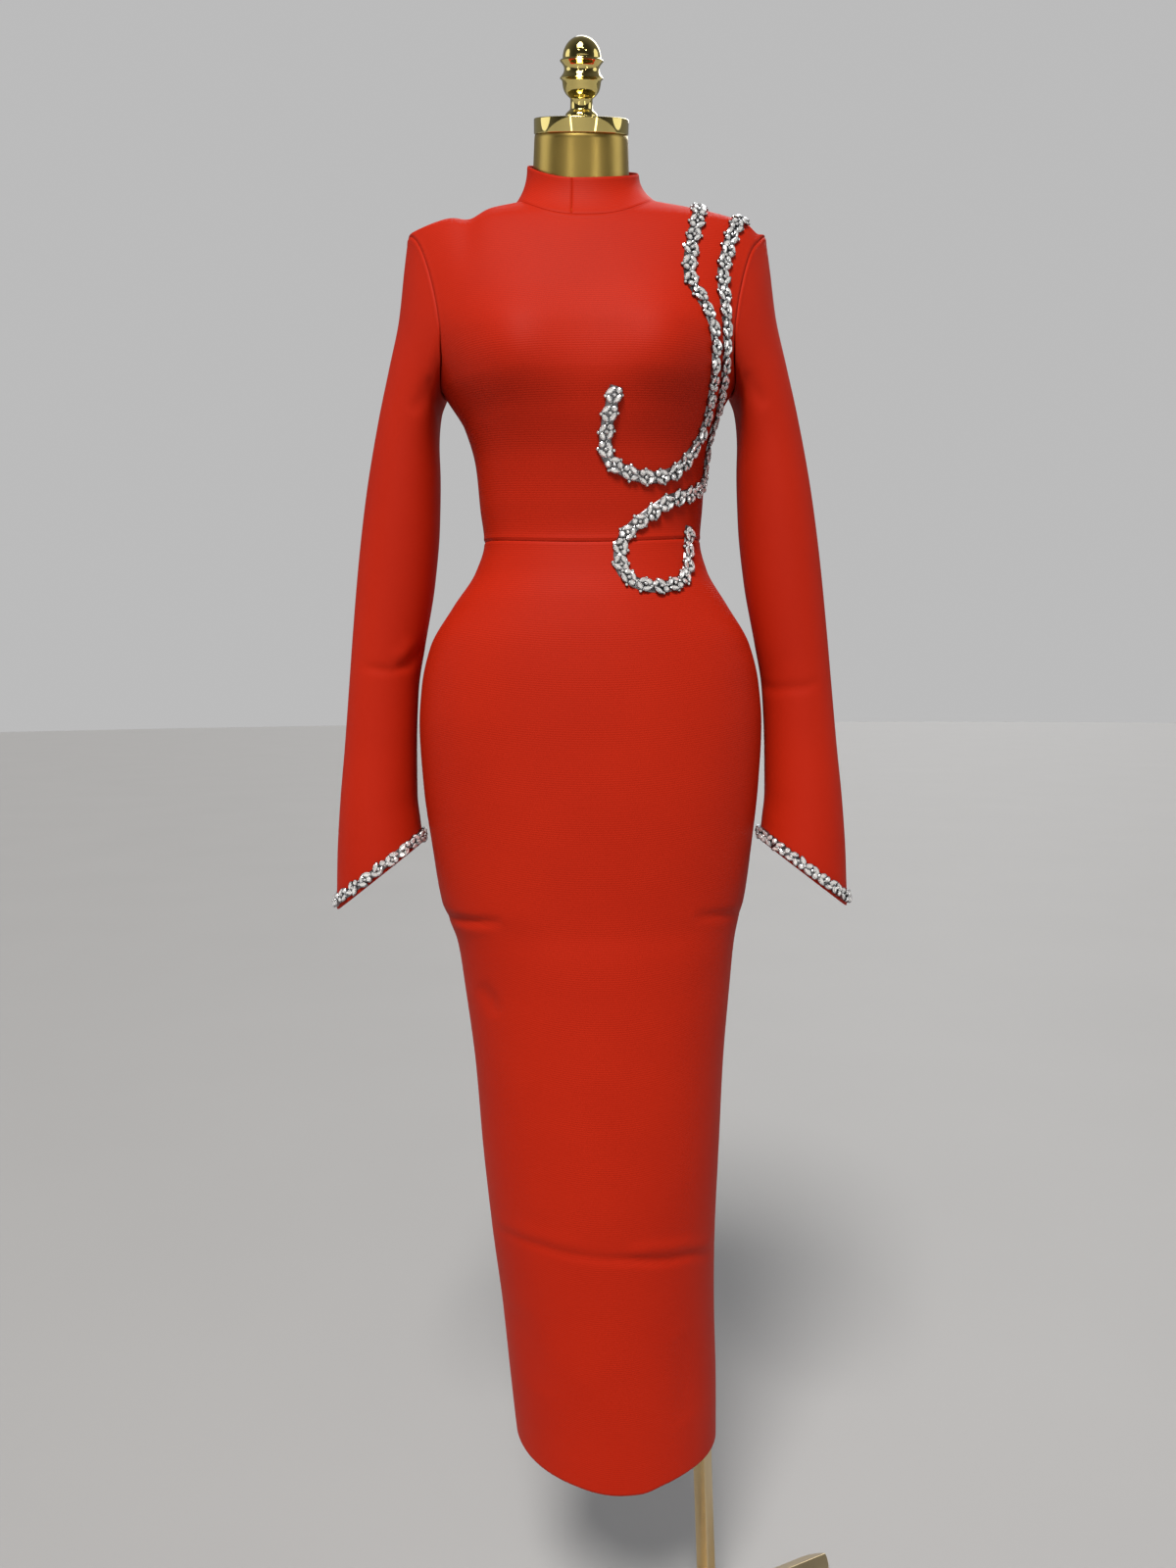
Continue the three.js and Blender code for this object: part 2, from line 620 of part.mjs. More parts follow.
const COLLAR_POINTS = 4 * NECK_COLUMNS;
const FRONT_PLACE = collarPlace(COLLAR_SEAM_X, NECK_COLUMNS - 2, NECK_COLUMNS + 2);
const BACK_PLACE = 3 * NECK_COLUMNS;

function collarHalf(name, from, to) {
  const places = [from + COLLAR_SPACE];
  for (let place = Math.floor(from) + 1; place < to; place += 1) places.push(place);
  places.push(to - COLLAR_SPACE);
  const cut = (rings) => rings.map((ring) => places.map((place) => between(ring, place)));
  return piece(name, shell(cut(collarOuter), cut(collarInner)), KNIT);
}

// Route on the front of the dress through a trim's table, at even steps
function trimRoute(rows) {
  const curve = new THREE.CatmullRomCurve3(rows.map(({ x, z }) => {
    const mid = column(SECTIONS, 'mid', z);
    const reach = TRIM_REACH * halfWidth(z);
    return bodyPoint(-1, mid + THREE.MathUtils.clamp(x - mid, -reach, reach), z);
  }));
  const steps = Math.round((curve.getLength() / STONE.pitch) * STONE.perPitch);
  return Array.from({ length: steps + 1 }, (_, i) => {
    const share = i / steps;
    const t = curve.getUtoTmapping(share) * (rows.length - 1);
    const row = Math.min(Math.floor(t), rows.length - 2);
    return {
      point: seat(curve.getPointAt(share), 0),
      along: curve.getTangentAt(share),
      half: lerp(rows[row].half, rows[row + 1].half, t - row),
    };
  });
}

// Section of a band of stones, wide and high at a stone and less between two: the places across
// it and their heights over the cloth
function bandSection(half, step, base) {
  const wave = Math.cos((2 * Math.PI * step) / STONE.perPitch);
  const wide = half - STONE.spread * (1 - wave);
  const high = STONE.height + STONE.swell * wave;
  return [[-wide, base], [wide, base], [0.8 * wide, 0.75 * high], [0, high], [-0.8 * wide, 0.75 * high]];
}

// The skirt's bed runs on a little above the waist seam, inside the bodice's
const skirtBed = skirtGrid(-1);
skirtBed[0].forEach((p) => p.setZ(p.z + CLOTH / 2));
const trimBed = [bodiceGrid(-1), bodiceGrid(1), skirtBed].map((grid) => {
  return swollen(grid, SEAM, 3 * STONE.sunk);
});

function trim(name, rows) {
  const rings = trimRoute(rows).map(({ point, along, half }, step) => {
    const across = normalAt(point).cross(along).normalize();
    return bandSection(half, step, -STONE.sunk).map(([side, height]) => {
      return seat(point.clone().addScaledVector(across, side), height);
    });
  });
  const cut = trimBed.reduce((band, bed) => band.subtract(bed), solid(skin(rings)));
  return piece(name, geometryOf(cut), CRYSTAL);
}

function cuffTrim(name, hand) {
  const { rings, loop } = sleeveRings(hand);
  const edge = rings.at(-1);
  const above = rings.at(-2);
  const inner = innerOf(rings, loop).at(-1);
  const steps = edge.length * STONE.perPitch;
  const middle = (CUFF_TRIM.low + CUFF_TRIM.high) / 2;
  const sections = Array.from({ length: steps }, (_, i) => {
    const place = i / STONE.perPitch;
    const low = between(edge, place);
    const along = between(above, place).sub(low).normalize();
    const out = low.clone().sub(between(inner, place)).normalize();
    return bandSection(middle - CUFF_TRIM.low, i, 0).map(([side, height]) => low.clone()
      .addScaledVector(along, middle + side)
      .addScaledVector(out, CUFF_TRIM.lift + height));
  });
  return piece(name, ringBand(sections), CRYSTAL);
}

// A closed band: five points in each section, joined all the way round
function ringBand(sections) {
  const count = sections[0].length;
  const total = sections.length;
  const positions = sections.flat().flatMap((p) => [p.x, p.y, p.z]);
  const index = [];
  for (let r = 0; r < total; r += 1) {
    const after = ((r + 1) % total) * count;
    for (let c = 0; c < count; c += 1) {
      const next = (c + 1) % count;
      index.push(r * count + c, r * count + next, after + next);
      index.push(r * count + c, after + next, after + c);
    }
  }
  return outward(positions, index);
}

// Points of the tape's middle and edges on the cloth, row by row from its lower end to the collar
function tapeRows() {
  const columns = [-neckSteps[1], 0, neckSteps[1]];
  const onSkirt = skirtGrid(1, columns).slice(1, ZIP.lowestRow + 1).reverse();
  const onBodice = bodiceGrid(1, columns).slice(0, -1);
  const around = [BACK_PLACE - 1, BACK_PLACE, BACK_PLACE + 1];
  const onCollar = [...COLLAR_ROWS.slice(0, -1), ZIP.top].map((share) => {
    const ring = collarRing(share);
    return around.map((place) => ring[place]).sort((a, b) => a.x - b.x);
  });
  return [...onSkirt, ...onBodice, ...onCollar].map(([left, centre, right]) => [
    centre.clone().lerp(left, ZIP.half / centre.distanceTo(left)),
    centre,
    centre.clone().lerp(right, ZIP.half / centre.distanceTo(right)),
  ]);
}

function zipTape() {
  const rows = tapeRows();
  const layer = (lift) => rows.map((row, r) => {
    const up = rows[Math.min(r + 1, rows.length - 1)][1].clone().sub(rows[Math.max(r - 1, 0)][1]);
    const out = up.cross(row[2].clone().sub(row[0])).normalize();
    return row.map((p) => p.clone().addScaledVector(out, lift));
  });
  return piece('zip_tape', shell(layer(ZIP.lift + ZIP.tape), layer(ZIP.lift)), ZIP_TAPE);
}

// A flat plate with its outline in X and Y, from one height to another
function plate(outline, low, high) {
  const shape = new THREE.Shape(outline.map(([x, y]) => new THREE.Vector2(x, y)));
  const geometry = new THREE.ExtrudeGeometry(shape, { depth: high - low, bevelEnabled: false });
  return solid(geometry.translate(0, 0, low));
}

function block(x, y, z) {
  const size = [x, y, z].map(([low, high]) => high - low);
  const middle = [x, y, z].map(([low, high]) => (low + high) / 2);
  return solid(new THREE.BoxGeometry(...size).translate(...middle));
}

function rodAcross(radius, length, z) {
  const geometry = new THREE.CylinderGeometry(radius, radius, length, 12).rotateZ(Math.PI / 2);
  return solid(geometry.translate(0, 0, z));
}

// Places a metal piece made with Y up the zip and Z away from the cloth
function onZip(name, shape, up, origin) {
  const across = new THREE.Vector3(-1, 0, 0);
  const basis = new THREE.Matrix4().makeBasis(across, up, across.clone().cross(up));
  const mesh = piece(name, geometryOf(shape).applyMatrix4(basis), BRIGHT_GOLD);
  mesh.position.copy(origin);
  return mesh;
}

// Hinge height over the slider's underside
const HINGE = SLIDER.depth + PULL.clear + PULL.barrel;

function sliderShape() {
  const [w, l] = [SLIDER.width / 2, SLIDER.length / 2];
  const inside = PULL.neck / 2 + PULL.clear;
  const outside = inside + SLIDER.lug;
  const high = HINGE + SLIDER.lug;
  const lugs = [[inside, outside], [-outside, -inside]].map((x) => {
    return block(x, [-SLIDER.lug, SLIDER.lug], [SLIDER.depth / 2, high]);
  });
  return plate([[-0.6 * w, -l], [0.6 * w, -l], [w, 0], [w, l], [-w, l], [-w, 0]], 0, SLIDER.depth)
    .add(lugs[0])
    .add(lugs[1])
    .add(rodAcross(SLIDER.pin, 2 * outside, HINGE));
}

function pullShape() {
  const half = PULL.width / 2;
  const neck = PULL.neck / 2;
  const end = -PULL.length;
  const low = -PULL.depth / 2;
  const outline = [
    [neck, 0], [neck, 0.15 * end], [half, 0.3 * end], [half, 0.85 * end], [0.6 * half, end],
  ];
  const tab = plate([...outline, ...outline.map(([x, y]) => [-x, y]).reverse()], low, -low);
  return tab
    .add(rodAcross(PULL.barrel, PULL.neck, 0))
    .subtract(rodAcross(PULL.bore, 2 * PULL.width, 0));
}

// Slider on the tape near the collar's top edge, and the pull that hangs from it along the tape
function zipFastener() {
  const low = collarRing(COLLAR_ROWS.at(-2))[BACK_PLACE];
  const high = collarRing(1)[BACK_PLACE];
  const up = high.clone().sub(low).normalize();
  const out = up.clone().cross(new THREE.Vector3(1, 0, 0));
  const tapeTop = ZIP.lift + ZIP.tape + SEAM;
  const seatPoint = low.clone().lerp(high, 0.5).addScaledVector(out, tapeTop);
  const hinge = seatPoint.clone().addScaledVector(out, HINGE);
  const below = bodyPoint(1, 0, hinge.z - PULL.length);
  const tip = below.addScaledVector(normalAt(below), tapeTop + PULL.tipClear);
  const pullUp = hinge.clone().sub(tip).setX(0).normalize();
  const group = new THREE.Group();
  group.add(onZip('zip_slider', sliderShape(), up, seatPoint));
  group.add(onZip('zip_pull', pullShape(), pullUp, hinge));
  return group;
}

// Surface of the form under the cloth, a little inside the panels
function formPoint(p, inset = 0) {
  const below = THREE.MathUtils.clamp((WAIST_Z - p.z) / GAP_CHANGE, 0, 1);
  const gap = lerp(FORM_GAP, LOOSE_GAP, below);
  return p.clone().addScaledVector(normalAt(p), -CLOTH - gap - inset);
}

function torso() {
  const lowest = TORSO_BOTTOM.at(-1).z;
  const sheet = (side) => {
    const low = TORSO_BOTTOM.map(({ z, inset }) => BODICE_COLUMNS.map((across) => {
      const x = column(SECTIONS, 'mid', lowest) + across * halfWidth(lowest);
      return formPoint(bodyPoint(side, x, lowest), inset).setZ(z);
    }));
    const hips = skirtGrid(side, BODICE_COLUMNS).slice(1, TORSO_ROWS).reverse();
    const inward = (grid, inset) => grid.map((line) => line.map((p) => formPoint(p, inset)));
    const upper = bodiceGrid(side);
    return [
      ...low, ...inward(hips, 0), ...inward(upper.slice(0, -2), 0), ...inward(upper.slice(-2), TOP_INSET),
    ];
  };
  const front = sheet(-1);
  const back = sheet(1);
  const positions = [];
  const add = (...points) => points.forEach((p) => positions.push(p.x, p.y, p.z));
  const cover = (grid, flip) => {
    for (let r = 0; r < grid.length - 1; r += 1) {
      for (let c = 0; c < grid[0].length - 1; c += 1) {
        const [a, b, d, e] = [grid[r][c], grid[r][c + 1], grid[r + 1][c + 1], grid[r + 1][c]];
        if (flip) add(a, d, b, a, e, d);
        else add(a, b, d, a, d, e);
      }
    }
  };
  const fan = (loop) => {
    const centre = loop.reduce((sum, p) => sum.add(p), new THREE.Vector3()).divideScalar(loop.length);
    loop.forEach((p, i) => add(centre, loop[(i + 1) % loop.length], p));
  };
  cover(front, false);
  cover(back, true);
  const rows = front.length - 1;
  const first = rows - CAP_ROWS;
  const end = BODICE_COLUMNS.length - 1;
  const edge = (grid, c) => grid.slice(first).map((line) => line[c]);
  const bottom = [...front[0], ...back[0].slice(1, -1).reverse()];
  fan(bottom);
  fan([...edge(front, end), ...edge(back, end).slice(1, -1).reverse()]);
  fan([...edge(front, 0), ...edge(back, 0).slice(1, -1).reverse()].reverse());
  const neckStart = end / 2 - NECK_COLUMNS;
  const neckEnd = end / 2 + NECK_COLUMNS + 1;
  const neckFront = front[rows].slice(neckStart, neckEnd);
  fan([...neckFront, ...back[rows].slice(neckStart + 1, neckEnd - 1).reverse()].reverse());
  const geometry = new THREE.BufferGeometry();
  geometry.setAttribute('position', new THREE.Float32BufferAttribute(sinkShoulders(positions), 3));
  return geometry;
}

function neckMatrix() {
  const turn = new THREE.Euler(radians(NECK.tilt), radians(NECK.lean), 0);
  const place = new THREE.Vector3(NECK.x, NECK.y, NECK.z);
  const size = new THREE.Vector3(1, 1, 1);
  return new THREE.Matrix4().compose(place, new THREE.Quaternion().setFromEuler(turn), size);
}

// A turned piece, from its profile of radius and height, standing on +Z
function turned(profile, sides) {
  const points = profile.map(([radius, up]) => new THREE.Vector2(radius, up));
  return new THREE.LatheGeometry(points, sides).rotateX(Math.PI / 2);
}

function formBody() {
  const neck = turned([
    [0, -NECK.length], [NECK.base, -NECK.length], [NECK.collar, -0.7 * NECK.length],
    [0.98 * NECK.collar, -0.45 * NECK.length], [0.95 * NECK.collar, -0.15 * NECK.length],
    [NECK.top, 0], [0, 0],
  ], 24);
  neck.applyMatrix4(neckMatrix());
  const whole = solid(torso()).add(solid(neck));
  return piece('form_torso', geometryOf(whole), SATIN_GOLD);
}

function neckTop() {
  const group = new THREE.Group();
  group.applyMatrix4(neckMatrix());
  const { radius, height, edge } = CAP;
  const cap = piece('neck_cap', turned([
    [0, 0], [radius - edge, 0], [radius, edge], [radius, height - edge], [radius - edge, height],
    [0, height],
  ], 28), BRIGHT_GOLD);
  cap.position.z = SEAM;
  const bends = FINIAL.map(({ up, radius: r }) => [r, up]);
  const { centre, radius: ball, from } = FINIAL_BALL;
  const round = Array.from({ length: 7 }, (_, i) => {
    const turn = radians(lerp(from, 90, i / 6));
    return [i === 6 ? 0 : ball * Math.cos(turn), centre + ball * Math.sin(turn)];
  });
  const finial = piece('finial', turned([[0, 0], ...bends, ...round], 16), BRIGHT_GOLD);
  finial.position.z = CAP.height + 2 * SEAM;
  group.add(cap, finial);
  return group;
}

const LEG_Z = PAD.height + SEAM;
const FOOT_Z = LEG_Z + LEG.ridge + SEAM;
const POST_Z = FOOT_Z + FOOT.height + 2 * SEAM;
const SOCKET_TOP = TORSO_BOTTOM[0].z - SEAM;
const POST_TOP = SOCKET_TOP - SOCKET.height - 2 * SEAM;

function disc(name, radius, height, x, y, z, material, sides = 24) {
  const geometry = new THREE.CylinderGeometry(radius, radius, height, sides).rotateX(Math.PI / 2);
  const mesh = piece(name, geometry, material);
  mesh.position.set(x, y, z + height / 2);
  return mesh;
}

function post() {
  const length = (POST_TOP - POST_Z) * Math.hypot(1, POST.lean);
  const geometry = new THREE.BoxGeometry(POST.side, POST.side, length);
  geometry.rotateZ(radians(POST.turn));
  const mesh = piece('post', geometry, SATIN_GOLD);
  mesh.rotation.y = -Math.atan(POST.lean);
  const middle = (POST_TOP + POST_Z) / 2;
  mesh.position.set(POST.footX - POST.lean * (middle - POST_Z), POST.footY, middle);
  return mesh;
}

// A bar with a ridged top and a rounded end, cut clear of the hub
function leg(name, x, y) {
  const length = Math.hypot(x, y);
  const straight = length - LEG.half;
  const stations = [0, straight, ...LEG.endTurns.map((turn) => {
    return straight + LEG.half * Math.sin(radians(turn));
  })];
  const rings = stations.map((at) => {
    const half = Math.sqrt(LEG.half ** 2 - Math.max(0, at - straight) ** 2);
    const edge = LEG.ridge - LEG.slope * half;
    return [[-half, 0], [half, 0], [half, edge], [0, LEG.ridge], [-half, edge]]
      .map(([across, up]) => new THREE.Vector3(at, across, up));
  });
  const bar = skin(rings).rotateZ(Math.atan2(y, x)).translate(0, 0, LEG_Z);
  const core = new THREE.CylinderGeometry(HUB.radius + SEAM, HUB.radius + SEAM, 4 * HUB.height, 24);
  const cut = solid(bar).subtract(solid(core.rotateX(Math.PI / 2)));
  return piece(name, geometryOf(cut), SATIN_GOLD);
}

function stand() {
  const group = new THREE.Group();
  group.add(disc('hub', HUB.radius, HUB.height, 0, 0, LEG_Z, SATIN_GOLD));
  group.add(disc('pad_hub', PAD.hubRadius, PAD.height, 0, 0, 0, RUBBER));
  LEGS.forEach(({ name, x, y }) => {
    group.add(leg(`leg_${name}`, x, y));
    const share = 1 - PAD.inset / Math.hypot(x, y);
    group.add(disc(`pad_${name}`, PAD.radius, PAD.height, x * share, y * share, 0, RUBBER, 20));
  });
  return group;
}

function wornDress() {
  const group = new THREE.Group();
  group.add(
    bodicePanel('bodice_front', -1),
    bodicePanel('bodice_back_right', 1, -1),
    bodicePanel('bodice_back_left', 1, 1),
    skirtPanel('skirt_front', -1),
    skirtPanel('skirt_back_right', 1, -1),
    skirtPanel('skirt_back_left', 1, 1),
    sleeve('sleeve_right', -1),
    sleeve('sleeve_left', 1),
    collarHalf('collar_right', FRONT_PLACE, BACK_PLACE),
    collarHalf('collar_left', BACK_PLACE, FRONT_PLACE + COLLAR_POINTS),
    trim('trim_inner', TRIM_INNER),
    trim('trim_outer', TRIM_OUTER),
    cuffTrim('trim_cuff_right', -1),
    cuffTrim('trim_cuff_left', 1),
    zipTape(),
    zipFastener(),
  );
  return group;
}

function dressForm() {
  const group = new THREE.Group();
  const top = POST.footX - POST.lean * (POST_TOP - POST_Z);
  group.add(
    formBody(),
    neckTop(),
    post(),
    disc('post_socket', SOCKET.radius, SOCKET.height, top, POST.footY, SOCKET_TOP - SOCKET.height,
      SATIN_GOLD),
    disc('post_foot', FOOT.radius, FOOT.height, POST.footX, POST.footY, FOOT_Z, SATIN_GOLD),
  );
  return group;
}

const upper = new THREE.Group();
upper.position.set(FORM_AXIS.x, FORM_AXIS.y, 0);
upper.add(wornDress(), dressForm());

const part = new THREE.Group();
part.add(upper, stand());

export default part;
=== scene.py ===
"""A long-sleeved bodycon dress with crystal trims, worn by a limbless gold dress form on a stand.

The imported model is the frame. The cloth, the stones, the form and the stand's metal are made here
around it. Sizes are in millimetres in the form's own frame, whose axis stands FORM_AXIS away from
the row's origin, and each mesh is turned into metres in the row's frame when it is built.
"""
from __future__ import annotations

import json
import logging
import math
import random
from collections.abc import Callable, Sequence
from dataclasses import dataclass, field
from enum import Enum

import bpy
import numpy as np
from mathutils import Matrix, Quaternion, Vector

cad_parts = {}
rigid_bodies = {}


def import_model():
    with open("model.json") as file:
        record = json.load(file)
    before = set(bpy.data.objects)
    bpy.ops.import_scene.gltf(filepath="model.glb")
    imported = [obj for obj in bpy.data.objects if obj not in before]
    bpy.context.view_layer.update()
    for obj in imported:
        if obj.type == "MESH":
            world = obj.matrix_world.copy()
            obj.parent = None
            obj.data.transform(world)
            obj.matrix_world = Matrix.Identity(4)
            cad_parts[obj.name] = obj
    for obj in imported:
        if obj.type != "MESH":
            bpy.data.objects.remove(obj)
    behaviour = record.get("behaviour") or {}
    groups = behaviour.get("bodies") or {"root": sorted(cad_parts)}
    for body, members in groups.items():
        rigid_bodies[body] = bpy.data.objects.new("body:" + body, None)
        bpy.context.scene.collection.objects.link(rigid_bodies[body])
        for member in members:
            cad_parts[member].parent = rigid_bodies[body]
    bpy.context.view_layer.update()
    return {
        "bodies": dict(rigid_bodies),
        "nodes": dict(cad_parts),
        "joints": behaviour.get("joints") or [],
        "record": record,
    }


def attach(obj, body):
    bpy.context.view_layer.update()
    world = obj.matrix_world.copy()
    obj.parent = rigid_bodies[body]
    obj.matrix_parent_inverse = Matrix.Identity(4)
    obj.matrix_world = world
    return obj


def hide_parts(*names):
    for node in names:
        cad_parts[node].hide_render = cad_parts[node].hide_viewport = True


LOG = logging.getLogger("dress")

FORM_AXIS = np.array([12.0, 64.0, 0.0])
METRES = 0.001
UV_NAME = "cloth"

# Thickness of the cloth, the space at a seam, and each side's distance from a seam that is drawn shut
CLOTH = 1.6
SEAM = 0.3
CLOSED_SEAM = 0.05

# Where the shoulders' cloth sinks: X, width and depth, between two heights
SHOULDER_DENTS = ((-112.0, 13.0, 6.5), (165.0, 8.0, 5.5))
SHOULDER_LOW = 1400.0
SHOULDER_HIGH = 1460.0

Array = np.ndarray


class Curve:
    """A smooth line through a short table, with no overshoot between its points."""

    def __init__(self, points: Sequence[tuple[float, float]]) -> None:
        """Keep the points and work out a slope at each.

        Args:
            points: places and values, with rising places.
        """
        self.at, self.value = (np.array(column, float) for column in zip(*points))
        rise = np.diff(self.value) / np.diff(self.at)
        slope = np.zeros(len(self.at))
        slope[0], slope[-1] = rise[0], rise[-1]
        before, after = rise[:-1], rise[1:]
        same = before * after > 0
        slope[1:-1][same] = 2 * before[same] * after[same] / (before[same] + after[same])
        self.slope = slope

    def __call__(self, place: Array | float) -> Array:
        """Read the curve.

        Args:
            place: where to read it; places past an end take the end's value.

        Returns:
            The values there.
        """
        place = np.clip(np.asarray(place, float), self.at[0], self.at[-1])
        i = np.clip(np.searchsorted(self.at, place, side="right") - 1, 0, len(self.at) - 2)
        span = self.at[i + 1] - self.at[i]
        t = (place - self.at[i]) / span
        bend = t * t * (3 - 2 * t)
        start = t * (1 - t) ** 2 * span * self.slope[i]
        end = t * t * (t - 1) * span * self.slope[i + 1]
        return self.value[i] + (self.value[i + 1] - self.value[i]) * bend + start + end


def columns_of(rows: Sequence[Sequence[float]]) -> list[Curve]:
    """Make a curve of each column of a table over its first column.

    Args:
        rows: the table.

    Returns:
        One curve for each column after the first.
    """
    ordered = sorted(rows)
    return [Curve([(row[0], row[i]) for row in ordered]) for i in range(1, len(ordered[0]))]


def unit(vectors: Array) -> Array:
    """Scale vectors to length one.

    Args:
        vectors: an array whose last axis is X, Y and Z.

    Returns:
        The unit vectors.
    """
    return vectors / np.maximum(np.linalg.norm(vectors, axis=-1, keepdims=True), 1e-9)


class Side(Enum):
    """Front or back of the dress, by the sign of Y."""

    FRONT = -1
    BACK = 1


class Hand(Enum):
    """The wearer's right or left, by the sign of X, or both."""

    RIGHT = -1
    LEFT = 1
    BOTH = 0


@dataclass(frozen=True)
class Fold:
    """A crease in the cloth along a short line on one side of the body."""

    side: Side
    line: tuple[tuple[float, float], ...]
    depth: float
    width: float

    def lift(self, x: Array, z: Array) -> Array:
        """Work out how far the fold moves the cloth.

        Args:
            x: places across.
            z: heights.

        Returns:
            The distance along the outward normal, negative in a crease.
        """
        near = np.full(np.broadcast(x, z).shape, np.inf)
        ends = np.full(near.shape, 1.0)
        steps = len(self.line) - 1
        for i, ((x0, z0), (x1, z1)) in enumerate(zip(self.line, self.line[1:])):
            length = (x1 - x0) ** 2 + (z1 - z0) ** 2
            share = np.clip(((x - x0) * (x1 - x0) + (z - z0) * (z1 - z0)) / length, 0, 1)
            gap = np.hypot(x - x0 - share * (x1 - x0), z - z0 - share * (z1 - z0))
            run = (i + share) / steps
            closer = gap < near
            ends = np.where(closer, np.sin(np.pi * np.clip(run, 0, 1)) ** 0.6, ends)
            near = np.where(closer, gap, near)
        return -self.depth * ends * np.exp(-((near / self.width) ** 2))


@dataclass
class DressShape:
    """The dress's outer surface: horizontal sections, the shoulders, the openings and the folds."""

    waist: float = 1167.0
    waist_dip: tuple[float, float] = (8.0, 3.0)
    underarm: float = 1314.0
    neck_half: float = 70.0
    shoulder_half: float = 175.5
    neckline: tuple[float, float, float, float] = (1460.0, 1492.0, 1521.0, 2.6)
    bust: tuple[float, float, float, float, float] = (72.0, 1330.0, 44.0, 50.0, 15.0)
    hem: Curve = field(default_factory=lambda: Curve([
        (-1, 237.5), (-0.5, 232.5), (0, 227), (0.2, 227), (0.45, 231.5), (0.7, 233.5), (0.9, 232), (1, 228.5),
    ]))
    folds: tuple[Fold, ...] = ()
    sections: list[Curve] = field(default_factory=lambda: columns_of([
        (210, 105, 23, 104, 104, 2.0),
        (292, 109, 19, 105, 106, 2.0),
        (380, 112, 14, 107, 108, 2.0),
        (466, 117.5, 9.5, 109, 111, 2.05),
        (551, 123.5, 7.5, 110, 113, 2.05),
        (636, 128.5, 6.5, 109, 114, 2.05),
        (720, 137, 5, 106, 113, 2.05),
        (762, 142, 4, 104, 112, 2.1),
        (790, 149.5, 2, 102, 112, 2.1),
        (806, 155, 1, 102, 113, 2.1),
        (864, 163.5, 0.5, 103, 119, 2.1),
        (924, 170.5, 0, 104, 126, 2.1),
        (984, 173.5, 0, 104, 129, 2.1),
        (1024, 170.5, 0, 103, 126, 2.1),
        (1064, 161, 0, 100, 116, 2.1),
        (1104, 137.5, 0.5, 94, 100, 2.1),
        (1138, 116, 2, 86, 84, 2.15),
        (1167, 108, 3, 82, 75, 2.2),
        (1200, 111, 2.5, 86, 77, 2.2),
        (1240, 114, 2, 94, 82, 2.25),
        (1278, 123.5, 1, 105, 89, 2.3),
        (1314, 144, 0, 112, 95, 2.3),
        (1350, 162, 0, 109, 97, 2.3),
        (1390, 175, 0, 98, 96, 2.25),
        (1430, 179.5, 0, 84, 91, 2.2),
        (1462, 175.5, 0, 69, 79, 2.15),
        (1492, 70, 0, 45, 60, 2.0),
        (1525, 70, 0, 45, 56, 2.0),
    ]))
    ridge: Curve = field(default_factory=lambda: Curve([
        (70, 1492), (78, 1488), (100, 1483.5), (120, 1480), (140, 1475.5), (160, 1469), (175.5, 1462),
    ]))
    armhole: Curve = field(default_factory=lambda: Curve([
        (1314, 144), (1322, 141), (1335, 138.5), (1352, 138.5), (1375, 141), (1400, 146),
        (1425, 153), (1445, 161), (1458, 169.5), (1462, 175.5),
    ]))

    def half(self, z: Array | float) -> Array:
        """Half the body's width at a height, read on the shoulders from the ridge's height."""
        z = np.asarray(z, float)
        along = np.linspace(self.neck_half, self.shoulder_half, 241)
        on_ridge = np.interp(-z, -self.ridge(along), along)
        tip = self.ridge.value[-1]
        return np.where(z <= tip, self.sections[0](z), on_ridge)

    def mid(self, z: Array | float) -> Array:
        """Where the section's middle is at a height."""
        return self.sections[1](z)

    def depth(self, y: Array | float, x: Array | float, z: Array | float) -> Array:
        """Half depth towards the front for negative y, and towards the back for the rest."""
        centre, height, wide, tall, lift = self.bust
        high = ((np.asarray(z) - height) / tall) ** 2
        cups = sum(np.exp(-(((np.asarray(x) - s * centre) / wide) ** 2) - high) for s in (1, -1))
        return np.where(np.asarray(y) < 0, self.sections[2](z) + lift * cups, self.sections[3](z))

    def outside(self, p: Array) -> Array:
        """Zero on the surface and positive outside it.

        Args:
            p: points, X, Y and Z on the last axis.

        Returns:
            One number for each point.
        """
        x, y, z = np.moveaxis(p, -1, 0)
        power = self.sections[4](z)
        wide = np.abs((x - self.mid(z)) / self.half(z))
        return wide ** power + np.abs(y / self.depth(y, x, z)) ** power - 1

    def slope(self, p: Array) -> Array:
        """Gradient of outside at points."""
        step = 0.4
        sides = [self.outside(p + step * axis) - self.outside(p - step * axis) for axis in np.eye(3)]
        return np.stack(sides, axis=-1) / (2 * step)

    def normal(self, p: Array) -> Array:
        """Outward normals at points near the surface."""
        return unit(self.slope(p))

    def point(self, side: Side, x: Array, z: Array) -> Array:
        """Points of the surface by their place seen from the front.

        Args:
            side: front or back.
            x: places across.
            z: heights.

        Returns:
            The points.
        """
        x, z = np.broadcast_arrays(np.asarray(x, float), np.asarray(z, float))
        power = self.sections[4](z)
        wide = np.clip(np.abs(x - self.mid(z)) / self.half(z), 0, 1)
        y = side.value * self.depth(side.value, x, z) * (1 - wide ** power) ** (1 / power)
        return np.stack([x, y, z], axis=-1)

    def seat(self, p: Array, lift: Array | float) -> Array:
        """Nearest points of the surface, moved off it along the normal.

        Args:
            p: points near the surface.
            lift: how far they end off it.

        Returns:
            The points.
        """
        for _ in range(4):
            slope = self.slope(p)
            p = p - slope * (self.outside(p) / np.sum(slope * slope, axis=-1))[..., None]
        return p + self.normal(p) * np.asarray(lift)[..., None]

